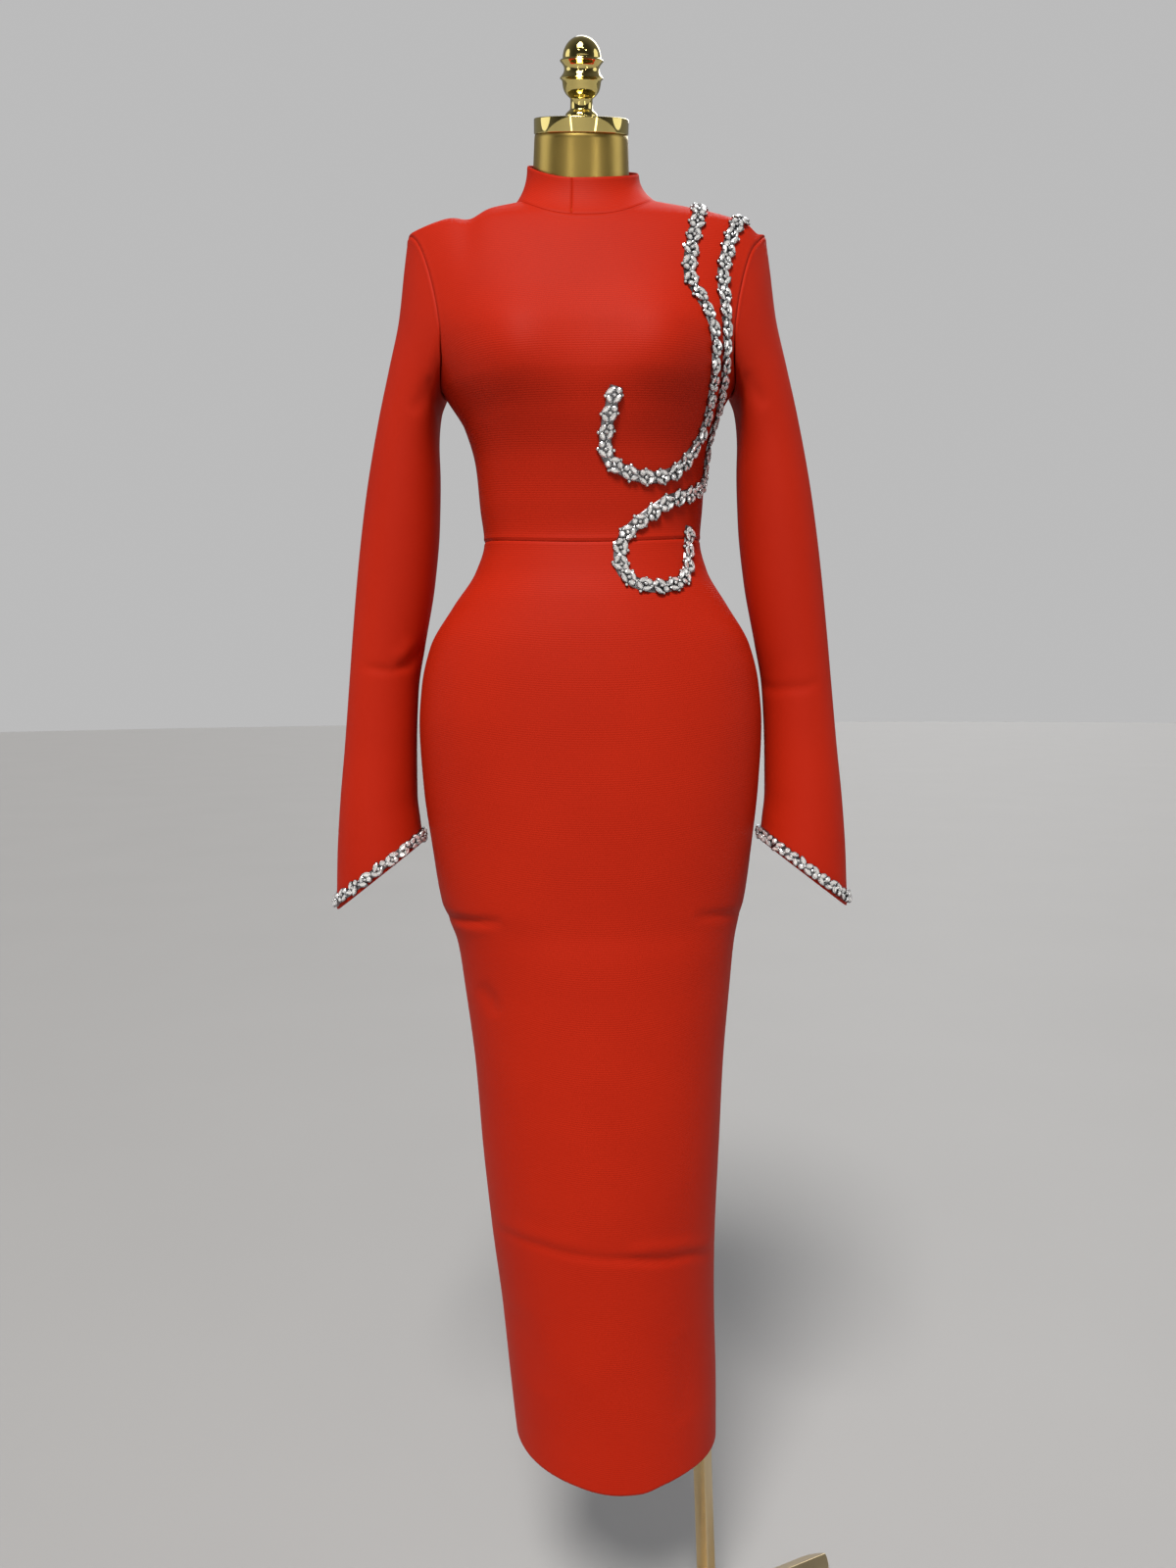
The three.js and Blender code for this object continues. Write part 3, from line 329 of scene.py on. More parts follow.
    def folded(self, side: Side, p: Array) -> Array:
        """Move points along their normals by the folds of their side."""
        lift = sum((fold.lift(p[..., 0], p[..., 2]) for fold in self.folds if fold.side is side),
                   np.zeros(p.shape[:-1]))
        return p + self.normal(p) * lift[..., None]

    def top(self, side: Side, x: Array) -> Array:
        """Height of the neckline and the shoulder's ridge."""
        away = np.abs(x)
        front, at_side, back, roundness = self.neckline
        centre = front if side is Side.FRONT else back
        curve = centre + (at_side - centre) * np.clip(away / self.neck_half, 0, 1) ** roundness
        return np.where(away < self.neck_half, curve, self.ridge(away))

    def waistline(self, side: Side, across: Array) -> Array:
        """Height of the waist seam, with across from -1 to 1 round the side."""
        dip = self.waist_dip[0] if side is Side.FRONT else self.waist_dip[1]
        return self.waist - dip * (1 - across ** 2)

    def bodice(self, side: Side, across: Array, low: Array, high: Array) -> Array:
        """Grid of points on the bodice.

        Args:
            side: front or back.
            across: columns from -1 to 1.
            low: shares from the waist up to the underarm.
            high: shares from the underarm up to the shoulder, with no 0.

        Returns:
            The grid, rows from the waist up.
        """
        start = self.waistline(side, across)
        z = start + (self.underarm - start) * low[:, None]
        lower = self.point(side, self.mid(z) + across * self.half(z), z)
        top = self.top(side, across * self.shoulder_half)
        z = self.underarm + (top - self.underarm) * high[:, None]
        x = across * self.armhole(z)
        upper = self.point(side, x, z)
        ridge = np.abs(across) >= self.neck_half / self.shoulder_half - 1e-4
        upper[-1, ridge, 1] = side.value * SEAM / 2
        return self.folded(side, np.concatenate([lower, upper]))

    def skirt(self, side: Side, across: Array, share: Array) -> Array:
        """Grid of points on the skirt, rows from the waist down to the hem."""
        start = self.waistline(side, across)
        z = start + (self.hem(across) - start) * share[:, None]
        return self.folded(side, self.point(side, self.mid(z) + across * self.half(z), z))


def grid_normals(grid: Array, wraps: bool) -> Array:
    """Normals of a grid of points, by the slopes between neighbours.

    Args:
        grid: rows, columns and X, Y, Z.
        wraps: whether the last column is next to the first.

    Returns:
        A unit vector for each point.
    """
    down = np.gradient(grid, axis=0)
    if wraps:
        along = np.roll(grid, -1, axis=1) - np.roll(grid, 1, axis=1)
    else:
        along = np.gradient(grid, axis=1)
    return unit(np.cross(along, down))


def arc(grid: Array, axis: int) -> Array:
    """Length run along one axis of a grid of points, from its first row or column."""
    steps = np.linalg.norm(np.diff(grid, axis=axis), axis=-1)
    run = np.cumsum(steps, axis=axis)
    shape = list(run.shape)
    shape[axis] = 1
    return np.concatenate([np.zeros(shape), run], axis=axis)


def settled(points: Array) -> Array:
    """Let the shoulders sink a little beside the collar on the right and over the left armhole.

    Args:
        points: points in the form's frame.

    Returns:
        The points, lower where the cloth sinks.
    """
    points = np.array(points, float)
    height = np.clip((points[..., 2] - SHOULDER_LOW) / (SHOULDER_HIGH - SHOULDER_LOW), 0, 1)
    for x, wide, deep in SHOULDER_DENTS:
        points[..., 2] -= height * deep * np.exp(-(((points[..., 0] - x) / wide) ** 2))
    return points


def mesh_object(name: str, points: Array, faces: Sequence[Sequence[int]],
                smooth: bool = True) -> bpy.types.Object:
    """Make an object from points in millimetres in the form's frame.

    Args:
        name: the piece's name.
        points: its vertices.
        faces: vertex numbers of each face.
        smooth: whether its faces are shaded smooth.

    Returns:
        The linked object, at the origin.
    """
    mesh = bpy.data.meshes.new(name)
    places = (settled(points) + FORM_AXIS) * METRES
    mesh.from_pydata(places.tolist(), [], [list(map(int, f)) for f in faces])
    mesh.update()
    mesh.polygons.foreach_set("use_smooth", [smooth] * len(mesh.polygons))
    piece = bpy.data.objects.new(name, mesh)
    bpy.context.scene.collection.objects.link(piece)
    return piece


def grid_faces(rows: int, columns: int, wraps: bool, first: int = 0, flip: bool = False) -> Array:
    """Faces of a grid of points.

    Args:
        rows: how many rows.
        columns: how many columns.
        wraps: whether the last column joins the first.
        first: number of the grid's first vertex.
        flip: whether the faces turn the other way.

    Returns:
        Four vertex numbers for each face.
    """
    r = np.arange(rows - 1)[:, None]
    c = np.arange(columns if wraps else columns - 1)[None, :]
    after = (c + 1) % columns
    a, b = r * columns + c, r * columns + after
    quads = np.stack([a, b, b + columns, a + columns], axis=-1).reshape(-1, 4) + first
    return quads[:, ::-1] if flip else quads


@dataclass
class ClothWall:
    """A thin wall of cloth from a grid of its outer points, with its edges rolled in a little."""

    name: str
    grid: Array
    wraps: bool = False
    roll: float = 0.75
    roll_width: float = 1.2
    ridge: float = 0.0
    ridge_place: float = 3.4
    ridge_width: float = 1.5

    def edge_distance(self) -> Array:
        """Distance of each point from the nearest sewn edge."""
        down = arc(self.grid, 0)
        near = np.minimum(down, down[-1:] - down)
        if not self.wraps:
            along = arc(self.grid, 1)
            near = np.minimum(near, np.minimum(along, along[:, -1:] - along))
        return near

    def build(self) -> bpy.types.Object:
        """Make the wall.

        Returns:
            The piece, with its own UV map in metres along the rows and down the columns.
        """
        rows, columns = self.grid.shape[:2]
        normals = grid_normals(self.grid, self.wraps)
        centre = self.grid.mean(axis=(0, 1))
        if self.wraps:
            centre = self.grid.mean(axis=1, keepdims=True)
        if np.sum(normals * (self.grid - centre)) < 0:
            normals = -normals
        near = self.edge_distance()
        dip = self.roll * np.exp(-((near / self.roll_width) ** 2))
        dip -= self.ridge * np.exp(-(((near - self.ridge_place) / self.ridge_width) ** 2))
        outer = self.grid - normals * dip[..., None]
        inner = self.grid - normals * CLOTH
        total = rows * columns
        points = np.concatenate([outer.reshape(-1, 3), inner.reshape(-1, 3)])
        cells = columns if self.wraps else columns - 1
        faces = [
            grid_faces(rows, columns, self.wraps),
            grid_faces(rows, columns, self.wraps, total, True),
        ]
        for row, flip in ((0, True), (rows - 1, False)):
            c = np.arange(cells)
            a, b = row * columns + c, row * columns + (c + 1) % columns
            rim = np.stack([a, b, b + total, a + total], axis=-1)
            faces.append(rim[:, ::-1] if flip else rim)
        if not self.wraps:
            for column, flip in ((0, False), (columns - 1, True)):
                r = np.arange(rows - 1)
                a, b = r * columns + column, (r + 1) * columns + column
                rim = np.stack([a, b, b + total, a + total], axis=-1)
                faces.append(rim[:, ::-1] if flip else rim)
        faces = np.concatenate(faces)
        if self.signed_volume(points, faces) < 0:
            faces = faces[:, ::-1]
        piece = mesh_object(self.name, points, faces)
        self.add_uv(piece, columns, total)
        return piece

    @staticmethod
    def signed_volume(points: Array, faces: Array) -> float:
        """Volume inside quad faces, negative when they point inwards."""
        a, b, c, d = (points[faces[:, k]] for k in range(4))
        return float(np.sum(a * np.cross(b, c)) + np.sum(a * np.cross(c, d)))

    def add_uv(self, piece: bpy.types.Object, columns: int, total: int) -> None:
        """Write the UV map.

        Args:
            piece: the object.
            columns: how many columns the grid has.
            total: how many points its outer side has.
        """
        along = arc(self.grid, 1) - arc(self.grid, 1)[:, columns // 2][:, None]
        down = arc(self.grid, 0)
        flat = np.stack([along, down], axis=-1).reshape(-1, 2) * METRES
        index = np.empty(len(piece.data.loops), int)
        piece.data.loops.foreach_get("vertex_index", index)
        values = flat[index % total]
        if self.wraps:
            values = self.unwrapped(piece, index % total, columns, values)
        layer = piece.data.uv_layers.new(name=UV_NAME)
        layer.data.foreach_set("uv", values.astype(np.float32).ravel())

    def unwrapped(self, piece: bpy.types.Object, index: Array, columns: int, values: Array) -> Array:
        """Carry the UV map over the column where a tube closes.

        Args:
            piece: the object.
            index: outer vertex number of each corner.
            columns: how many columns the grid has.
            values: UV of each corner.

        Returns:
            The UVs, with the closing column's corners moved one round on.
        """
        closing = np.linalg.norm(self.grid[:, 0] - self.grid[:, -1], axis=-1) * METRES
        last = (arc(self.grid, 1)[:, -1] - arc(self.grid, 1)[:, columns // 2]) * METRES
        column = index % columns
        quads = column.reshape(-1, 4)
        crosses = (quads.max(axis=1) - quads.min(axis=1)) > columns // 2
        moved = np.repeat(crosses, 4) & (column < columns // 2)
        values = values.copy()
        row = index // columns
        values[moved, 0] = last[row[moved]] + closing[row[moved]]
        return values


def spaced(low: float, high: float, step: float, size: float, edge: float = 1.0) -> Array:
    """Even places between two ends, with closer ones beside each end for the rolled edge.

    Args:
        low: first place.
        high: last place.
        step: distance aimed at between places, in millimetres.
        size: millimetres from the first place to the last.
        edge: distance of the closer places from the ends, in millimetres.

    Returns:
        The places.
    """
    count = max(2, round(size / step))
    shares = np.linspace(0, 1, count + 1)
    near = np.array([0.5, 1.2, 2.2, 3.4, 4.8]) * edge / size
    shares = np.unique(np.concatenate([shares, near, 1 - near]))
    return low + (high - low) * shares


class Wire:
    """A shader value. Arithmetic on it adds Math nodes."""

    def __init__(self, tree: bpy.types.NodeTree, source: bpy.types.NodeSocket) -> None:
        """Wrap a socket of a tree."""
        self.tree = tree
        self.source = source

    def _math(self, operation: str, *values: Wire | float) -> Wire:
        """Add one Math node.

        Args:
            operation: its operation.
            values: wires or numbers for its inputs.

        Returns:
            Its result.
        """
        node = self.tree.nodes.new("ShaderNodeMath")
        node.operation = operation
        for socket, value in zip(node.inputs, values):
            if isinstance(value, Wire):
                self.tree.links.new(value.source, socket)
            else:
                socket.default_value = value
        return Wire(self.tree, node.outputs[0])

    def __add__(self, other: Wire | float) -> Wire:
        """Sum."""
        return self._math("ADD", self, other)

    __radd__ = __add__

    def __sub__(self, other: Wire | float) -> Wire:
        """Difference."""
        return self._math("SUBTRACT", self, other)

    def __rsub__(self, other: float) -> Wire:
        """Difference from a number."""
        return self._math("SUBTRACT", other, self)

    def __mul__(self, other: Wire | float) -> Wire:
        """Product."""
        return self._math("MULTIPLY", self, other)

    __rmul__ = __mul__

    def __truediv__(self, other: Wire | float) -> Wire:
        """Quotient."""
        return self._math("DIVIDE", self, other)

    def __pow__(self, other: Wire | float) -> Wire:
        """Power."""
        return self._math("POWER", self, other)

    def __abs__(self) -> Wire:
        """Absolute value."""
        return self._math("ABSOLUTE", self)

    def sine(self) -> Wire:
        """Sine of the value in radians."""
        return self._math("SINE", self)

    def between(self, low: float, high: float) -> Wire:
        """Value kept between two numbers."""
        return self._math("MINIMUM", self._math("MAXIMUM", self, low), high)


class Paint:
    """A material's node tree, with one way to add any node."""

    def __init__(self, name: str) -> None:
        """Start a material with a Principled BSDF."""
        self.material = bpy.data.materials.new(name)
        self.material.use_nodes = True
        self.tree = self.material.node_tree
        self.tree.nodes.clear()
        self.surface = self.tree.nodes.new("ShaderNodeBsdfPrincipled")
        output = self.tree.nodes.new("ShaderNodeOutputMaterial")
        self.tree.links.new(self.surface.outputs[0], output.inputs[0])

    def set_inputs(self, node: bpy.types.Node, values: dict[str | int, object]) -> None:
        """Link wires to a node's sockets and write plain values to the others.

        Args:
            node: the node.
            values: a wire or a value for each socket name or number.
        """
        for key, value in values.items():
            if isinstance(value, Wire):
                self.tree.links.new(value.source, node.inputs[key])
            else:
                node.inputs[key].default_value = value

    def node(self, kind: str, settings: dict[str, object] | None = None,
             values: dict[str | int, object] | None = None, output: str | int = 0) -> Wire:
        """Add a node.

        Args:
            kind: its type.
            settings: attributes set first; "stops" gives a ramp's places and colours.
            values: wires or values for its sockets.
            output: which output to return.

        Returns:
            That output.
        """
        node = self.tree.nodes.new(kind)
        for key, value in (settings or {}).items():
            if key == "stops":
                self.set_stops(node.color_ramp, value)
            else:
                setattr(node, key, value)
        self.set_inputs(node, values or {})
        return Wire(self.tree, node.outputs[output])

    @staticmethod
    def set_stops(ramp: bpy.types.ColorRamp, stops: Sequence[tuple[float, tuple]]) -> None:
        """Write a ramp's stops."""
        while len(ramp.elements) < len(stops):
            ramp.elements.new(1.0)
        for element, (place, colour) in zip(ramp.elements, stops):
            element.position = place
            element.color = (*colour, 1.0)

    def finish(self, **values: object) -> bpy.types.Material:
        """Set the surface's sockets by name, with spaces written as underscores.

        Returns:
            The material.
        """
        self.set_inputs(self.surface, {key.replace("_", " "): value for key, value in values.items()})
        return self.material

    def noise(self, scale: float, detail: float = 2.0, vector: Wire | None = None) -> Wire:
        """Noise from 0 to 1 over Object coordinates, or over the vector given."""
        place = vector or self.object_place()
        return self.node("ShaderNodeTexNoise", {}, {"Vector": place, "Scale": scale, "Detail": detail})

    def object_place(self) -> Wire:
        """Object coordinates."""
        return self.node("ShaderNodeTexCoord", {}, {}, "Object")

    def mix(self, share: Wire, first: tuple, second: tuple) -> Wire:
        """Colour between two."""
        node = self.tree.nodes.new("ShaderNodeMix")
        node.data_type = "RGBA"
        self.tree.links.new(share.source, node.inputs[0])
        for key, colour in ((6, first), (7, second)):
            if isinstance(colour, Wire):
                self.tree.links.new(colour.source, node.inputs[key])
            else:
                node.inputs[key].default_value = (*colour, 1.0)
        return Wire(self.tree, node.outputs[2])

    def bump(self, height: Wire, distance: float, strength: float = 1.0) -> Wire:
        """Bump normal from a height."""
        return self.node("ShaderNodeBump", {}, {
            "Height": height, "Distance": distance, "Strength": strength,
        })


Colour = tuple[float, float, float]


@dataclass(frozen=True)
class BandageKnit:
    """Stretch knit with fine ribs across the cloth, its colour darker in the rib grooves as painted shade and
    mottled at random.
    """

    name: str = "bandage_knit"
    light: Colour = (0.47, 0.018, 0.003)
    dark: Colour = (0.31, 0.008, 0.0015)
    rib: float = 0.0021
    yarn: float = 0.0011

    def build(self) -> bpy.types.Material:
        """Make the knit's material on the cloth's UV map."""
        paint = Paint(self.name)
        uv = paint.node("ShaderNodeUVMap", {"uv_map": UV_NAME})
        parts = paint.tree.nodes.new("ShaderNodeSeparateXYZ")
        paint.tree.links.new(uv.source, parts.inputs[0])
        along, down = (Wire(paint.tree, parts.outputs[k]) for k in (0, 1))
        patches = paint.noise(9.0, 3.0)
        wander = (paint.noise(60.0, 2.0) - 0.5) * 0.0006
        ribs = abs(((down + wander) * (math.pi / self.rib)).sine())
        loops = abs((along * (math.pi / self.yarn)).sine())
        fuzz = paint.noise(2600.0, 2.0)
        height = ribs * 0.75 + loops * 0.15 + fuzz * 0.25
        # The colour share mixes random patches and fuzz, the knit's own tone, with painted shade that darkens
        # the rib grooves.
        tone_and_painted_light = (ribs * 0.35 + patches * 0.5 + fuzz * 0.3).between(0.0, 1.0)
        return paint.finish(
            Base_Color=paint.mix(tone_and_painted_light, self.dark, self.light),
            Roughness=0.54 + fuzz * 0.14,
            Normal=paint.bump(height, 0.00022, 0.5),
            Sheen_Weight=0.03,
            Sheen_Roughness=0.4,
            Sheen_Tint=(1.0, 0.1, 0.02, 1.0),
            Specular_IOR_Level=0.10,
        )


@dataclass(frozen=True)
class GoldMetal:
    """Gold-coloured metal or lacquer, from satin to polished."""

    name: str
    light: Colour
    dark: Colour
    roughness: float
    brushed: float = 0.0
    coat: float = 0.0
    patchy: float = 0.08

    def build(self) -> bpy.types.Material:
        """Make the metal's material."""
        paint = Paint(self.name)
        cloud = paint.noise(14.0, 4.0)
        stretched = paint.node("ShaderNodeMapping", {}, {
            "Vector": paint.object_place(), "Scale": (900.0, 900.0, 12.0),
        })
        grain = paint.noise(1.0, 3.0, stretched)
        smear = paint.noise(55.0, 5.0)
        return paint.finish(
            Base_Color=paint.mix(cloud * 0.7 + smear * 0.3, self.dark, self.light),
            Metallic=1.0,
            Roughness=(self.roughness + (smear - 0.5) * self.patchy + (grain - 0.5) * self.brushed
                       ).between(0.03, 1.0),
            Normal=paint.bump(grain * self.brushed + cloud * 0.3, 0.00012, 0.5),
            Coat_Weight=self.coat,
            Coat_Roughness=0.06,
        )


@dataclass(frozen=True)
class CutCrystal:
    """Foil-backed cut stone: bright and dark facets painted into its colour as painted reflections, with
    painted glints and a little colour.
    """

    name: str = "cut_crystal"

    def build(self) -> bpy.types.Material:
        """Make the stone's material."""
        paint = Paint(self.name)
        # The colour is painted light: the sparkle noise paints small glints, and the facet attribute paints
        # each facet bright or dark as a painted reflection; the sparkle noise also varies the roughness.
        sparkle = paint.noise(330.0, 1.0)
        facet = paint.node("ShaderNodeAttribute", {"attribute_name": "facet"}, {}, "Fac")
        painted_facet_light = paint.node("ShaderNodeValToRGB", {"stops": [
            (0.22, (0.05, 0.05, 0.055)), (0.34, (0.34, 0.35, 0.37)),
            (0.47, (0.90, 0.91, 0.94)), (0.75, (1.0, 0.99, 0.96)),
        ]}, {"Fac": facet * 0.55 + sparkle * 0.5})
        return paint.finish(
            Base_Color=painted_facet_light,
            Metallic=0.45,
            Roughness=0.05 + sparkle * 0.06,
            Coat_Weight=1.0,
            Coat_Roughness=0.02,
        )


@dataclass(frozen=True)
class PlainMetal:
    """Plated setting or fastener metal with a fine worn tone."""

    name: str
    light: Colour
    dark: Colour
    roughness: float

    def build(self) -> bpy.types.Material:
        """Make the metal's material."""
        paint = Paint(self.name)
        wear = paint.noise(300.0, 3.0)
        return paint.finish(
            Base_Color=paint.mix(wear, self.dark, self.light),
            Metallic=1.0,
            Roughness=self.roughness + (wear - 0.5) * 0.15,
        )


@dataclass(frozen=True)
class DullRubber:
    """Black rubber with a dusty bloom."""

    name: str = "dull_rubber"

    def build(self) -> bpy.types.Material:
        """Make the rubber's material."""
        paint = Paint(self.name)
        dust = paint.noise(120.0, 4.0)
        return paint.finish(
            Base_Color=paint.mix(dust, (0.012, 0.012, 0.013), (0.05, 0.05, 0.05)),
            Roughness=0.7 + dust * 0.2,
            Normal=paint.bump(paint.noise(1500.0, 2.0), 0.0002, 0.4),
        )


@dataclass(frozen=True)
class WovenTape:
    """Woven zip tape in the knit's red, its colour darker where the weave sinks as painted shade."""

    name: str = "zip_tape_weave"

    def build(self) -> bpy.types.Material:
        """Make the tape's material."""
        paint = Paint(self.name)
        uv = paint.node("ShaderNodeUVMap", {"uv_map": UV_NAME})
        parts = paint.tree.nodes.new("ShaderNodeSeparateXYZ")
        paint.tree.links.new(uv.source, parts.inputs[0])
        along, down = (Wire(paint.tree, parts.outputs[k]) for k in (0, 1))
        # The weave's height drives the bump and also the colour, which is painted shade, darker in the
        # weave's hollows.
        weave_height_and_shade = abs((along * 5200.0).sine()) * 0.5 + abs((down * 3900.0).sine()) * 0.5
        return paint.finish(
            Base_Color=paint.mix(weave_height_and_shade, (0.30, 0.010, 0.004), (0.50, 0.024, 0.009)),
            Roughness=0.75,
            Normal=paint.bump(weave_height_and_shade, 0.0002, 0.6),
        )


@dataclass(frozen=True)
class StudioPaint:
    """Plain pale floor."""

    name: str = "studio_floor"
    light: Colour = (0.345, 0.342, 0.342)
    dark: Colour = (0.325, 0.322, 0.322)

    def build(self) -> bpy.types.Material:
        """Make the floor's material."""
        paint = Paint(self.name)
        cloud = paint.noise(1.5, 3.0)
        return paint.finish(Base_Color=paint.mix(cloud, self.dark, self.light), Roughness=0.62)


@dataclass
class Finishes:
    """Every material of the object, each built once."""

    knit: bpy.types.Material = field(default_factory=lambda: BandageKnit().build())
    satin_gold: bpy.types.Material = field(default_factory=lambda: GoldMetal(
        "satin_gold", (0.55, 0.40, 0.115), (0.46, 0.32, 0.08), 0.33, 0.10).build())
    bright_gold: bpy.types.Material = field(default_factory=lambda: GoldMetal(
        "bright_gold", (0.84, 0.69, 0.25), (0.74, 0.58, 0.18), 0.06, 0.0, 0.3, 0.04).build())
    stand_gold: bpy.types.Material = field(default_factory=lambda: GoldMetal(
        "stand_gold", (0.70, 0.56, 0.34), (0.58, 0.45, 0.26), 0.33, 0.22).build())
    crystal: bpy.types.Material = field(default_factory=lambda: CutCrystal().build())
    setting: bpy.types.Material = field(default_factory=lambda: PlainMetal(
        "silver_setting", (0.34, 0.34, 0.35), (0.12, 0.12, 0.125), 0.30).build())
    zip_metal: bpy.types.Material = field(default_factory=lambda: PlainMetal(
        "zip_gold", (0.80, 0.62, 0.30), (0.60, 0.44, 0.18), 0.22).build())
    zip_tape: bpy.types.Material = field(default_factory=lambda: WovenTape().build())
    rubber: bpy.types.Material = field(default_factory=lambda: DullRubber().build())
    floor: bpy.types.Material = field(default_factory=lambda: StudioPaint().build())


@dataclass
class Workshop:
    """What every sub-assembly needs: the frame, the finishes and the dress's shape."""

    frame: dict
    finishes: Finishes
    shape: DressShape
    made: list[str] = field(default_factory=list)

    def dress(self, piece: bpy.types.Object, finish: bpy.types.Material, slot: str,
              replaces: Sequence[str] = (), body: str = "main") -> bpy.types.Object:
        """Give a piece its finish, attach it to its body and hide the CAD nodes that it stands for.

        Args:
            piece: the piece.
            finish: its material.
            slot: a name of the record's material slot; it is not used.
            replaces: CAD nodes that it stands for.
            body: the CAD body that it moves with.

        Returns:
            The piece.
        """
        piece.data.materials.clear()
        piece.data.materials.append(finish)
        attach(piece, body)
        if replaces:
            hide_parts(*replaces)
        self.made.append(piece.name)
        LOG.info("%s: %d faces on %s", piece.name, len(piece.data.polygons), body)
        return piece


@dataclass
class SleeveShape:
    """One sleeve's outer surface, from the armhole to the slanted cuff."""

    shape: DressShape
    hand: Hand
    table: list[Curve] = field(default_factory=lambda: columns_of([
        (0, 175.5, 1462, 144, 1314, 52),
        (1, 180, 1430, 147.5, 1304, 51),
        (2, 186, 1384, 149.5, 1291, 49),
        (3, 197, 1336, 149.5, 1267, 46),
        (4, 209, 1284, 148.5, 1232, 43),
        (5, 221.5, 1220, 150, 1184, 41),
        (6, 231.5, 1150, 156, 1126, 39),
        (7, 239.5, 1076, 167, 1066, 37),
        (8, 244.5, 1024, 174.5, 1021, 36),
        (9, 250.5, 962, 177.5, 962, 37),
        (10, 256.5, 906, 178, 916, 40),
        (11, 260.5, 852, 175.5, 888, 43),
        (12, 262.5, 797, 173, 865, 46),
    ]))
    follow: Curve = field(default_factory=lambda: Curve([
        (0, 1), (1, 0.75), (2, 0.42), (3, 0.14), (4, 0), (12, 0),
    ]))

    def plain_ring(self, step: Array, turn: Array) -> Array:
        """Points of the plain sections.

        Args:
            step: rows of the table, by number.
            turn: angle round, 0 at the outer edge, with the front before half a turn.

        Returns:
            The points.
        """
        outer_x, outer_z, inner_x, inner_z, depth = (curve(step) for curve in self.table)
        out = (1 + np.cos(turn)) / 2
        x = self.hand.value * (inner_x + (outer_x - inner_x) * out)
        return np.stack(np.broadcast_arrays(
            x, -depth * np.sin(turn), inner_z + (outer_z - inner_z) * out), axis=-1)

    def armhole(self, turn: Array) -> Array:
        """Points of the bodice's armhole edge at angles round it."""
        out = (1 + np.cos(turn)) / 2
        z = self.shape.underarm + (self.shape.ridge.value[-1] - self.shape.underarm) * out
        x = self.hand.value * self.shape.armhole(z)
        front = self.shape.point(Side.FRONT, x, z)
        back = self.shape.point(Side.BACK, x, z)
        return np.where((np.sin(turn) >= 0)[..., None], front, back)

    def edge(self, turn: Array) -> Array:
        """The armhole's edge moved out of the bodice by the seam."""
        loop = self.armhole(turn)
        along = np.roll(loop, -1, axis=0) - np.roll(loop, 1, axis=0)
        away = unit(np.cross(along, self.shape.normal(loop))) * -self.hand.value
        return loop + away * SEAM

    def grid(self, rows: Array, count: int) -> Array:
        """Grid of points on the sleeve.

        Args:
            rows: places along the sleeve, in rows of the table.
            count: points round each ring.

        Returns:
            The grid, rows from the armhole down.
        """
        turn = np.arange(count) * 2 * np.pi / count
        plain = self.plain_ring(rows[:, None], turn[None, :])
        bend = self.edge(turn) - self.plain_ring(np.zeros(1), turn)
        return plain + bend[None] * self.follow(rows)[:, None, None]


@dataclass
class CollarShape:
    """The upright collar's outer surface."""

    shape: DressShape
    centre: tuple[float, float, float] = (-3.0, -6.5, 1521.5)
    half: float = 54.5
    depth: float = 51.5
    tilt: float = 24.8
    flare: float = 2.3
    seam: float = -14.0
    right_lift: float = 12.0
    lift_roundness: float = 1.7

    def neckline(self, turn: Array) -> Array:
        """The neckline's edge at angles round it, 0 at the wearer's left."""
        x = self.shape.neck_half * np.cos(turn)
        front = self.shape.point(Side.FRONT, x, self.shape.top(Side.FRONT, 0.99999 * x))
        back = self.shape.point(Side.BACK, x, self.shape.top(Side.BACK, 0.99999 * x))
        return np.where((np.sin(turn) >= 0)[..., None], front, back)

    def point(self, turn: Array, share: Array) -> Array:
        """Points on the collar.

        Args:
            turn: angles round.
            share: shares of the collar's height.

        Returns:
            The points.
        """
        turn, share = np.broadcast_arrays(turn, share)
        low = self.neckline(turn)
        y = -self.depth * np.sin(turn)
        top = np.stack([
            self.centre[0] + self.half * np.cos(turn),
            self.centre[1] + y,
            self.centre[2] + math.tan(math.radians(self.tilt)) * y,
        ], axis=-1)
        keep = ((1 - share) ** self.flare)[..., None]
        to_right = np.maximum(0.0, (self.seam - top[..., 0]) / self.half)
        top[..., 2] += self.right_lift * to_right ** self.lift_roundness
        mixed = top + (low - top) * keep
        mixed[..., 2] = low[..., 2] + (top[..., 2] - low[..., 2]) * share + SEAM * (1 - share)
        return mixed


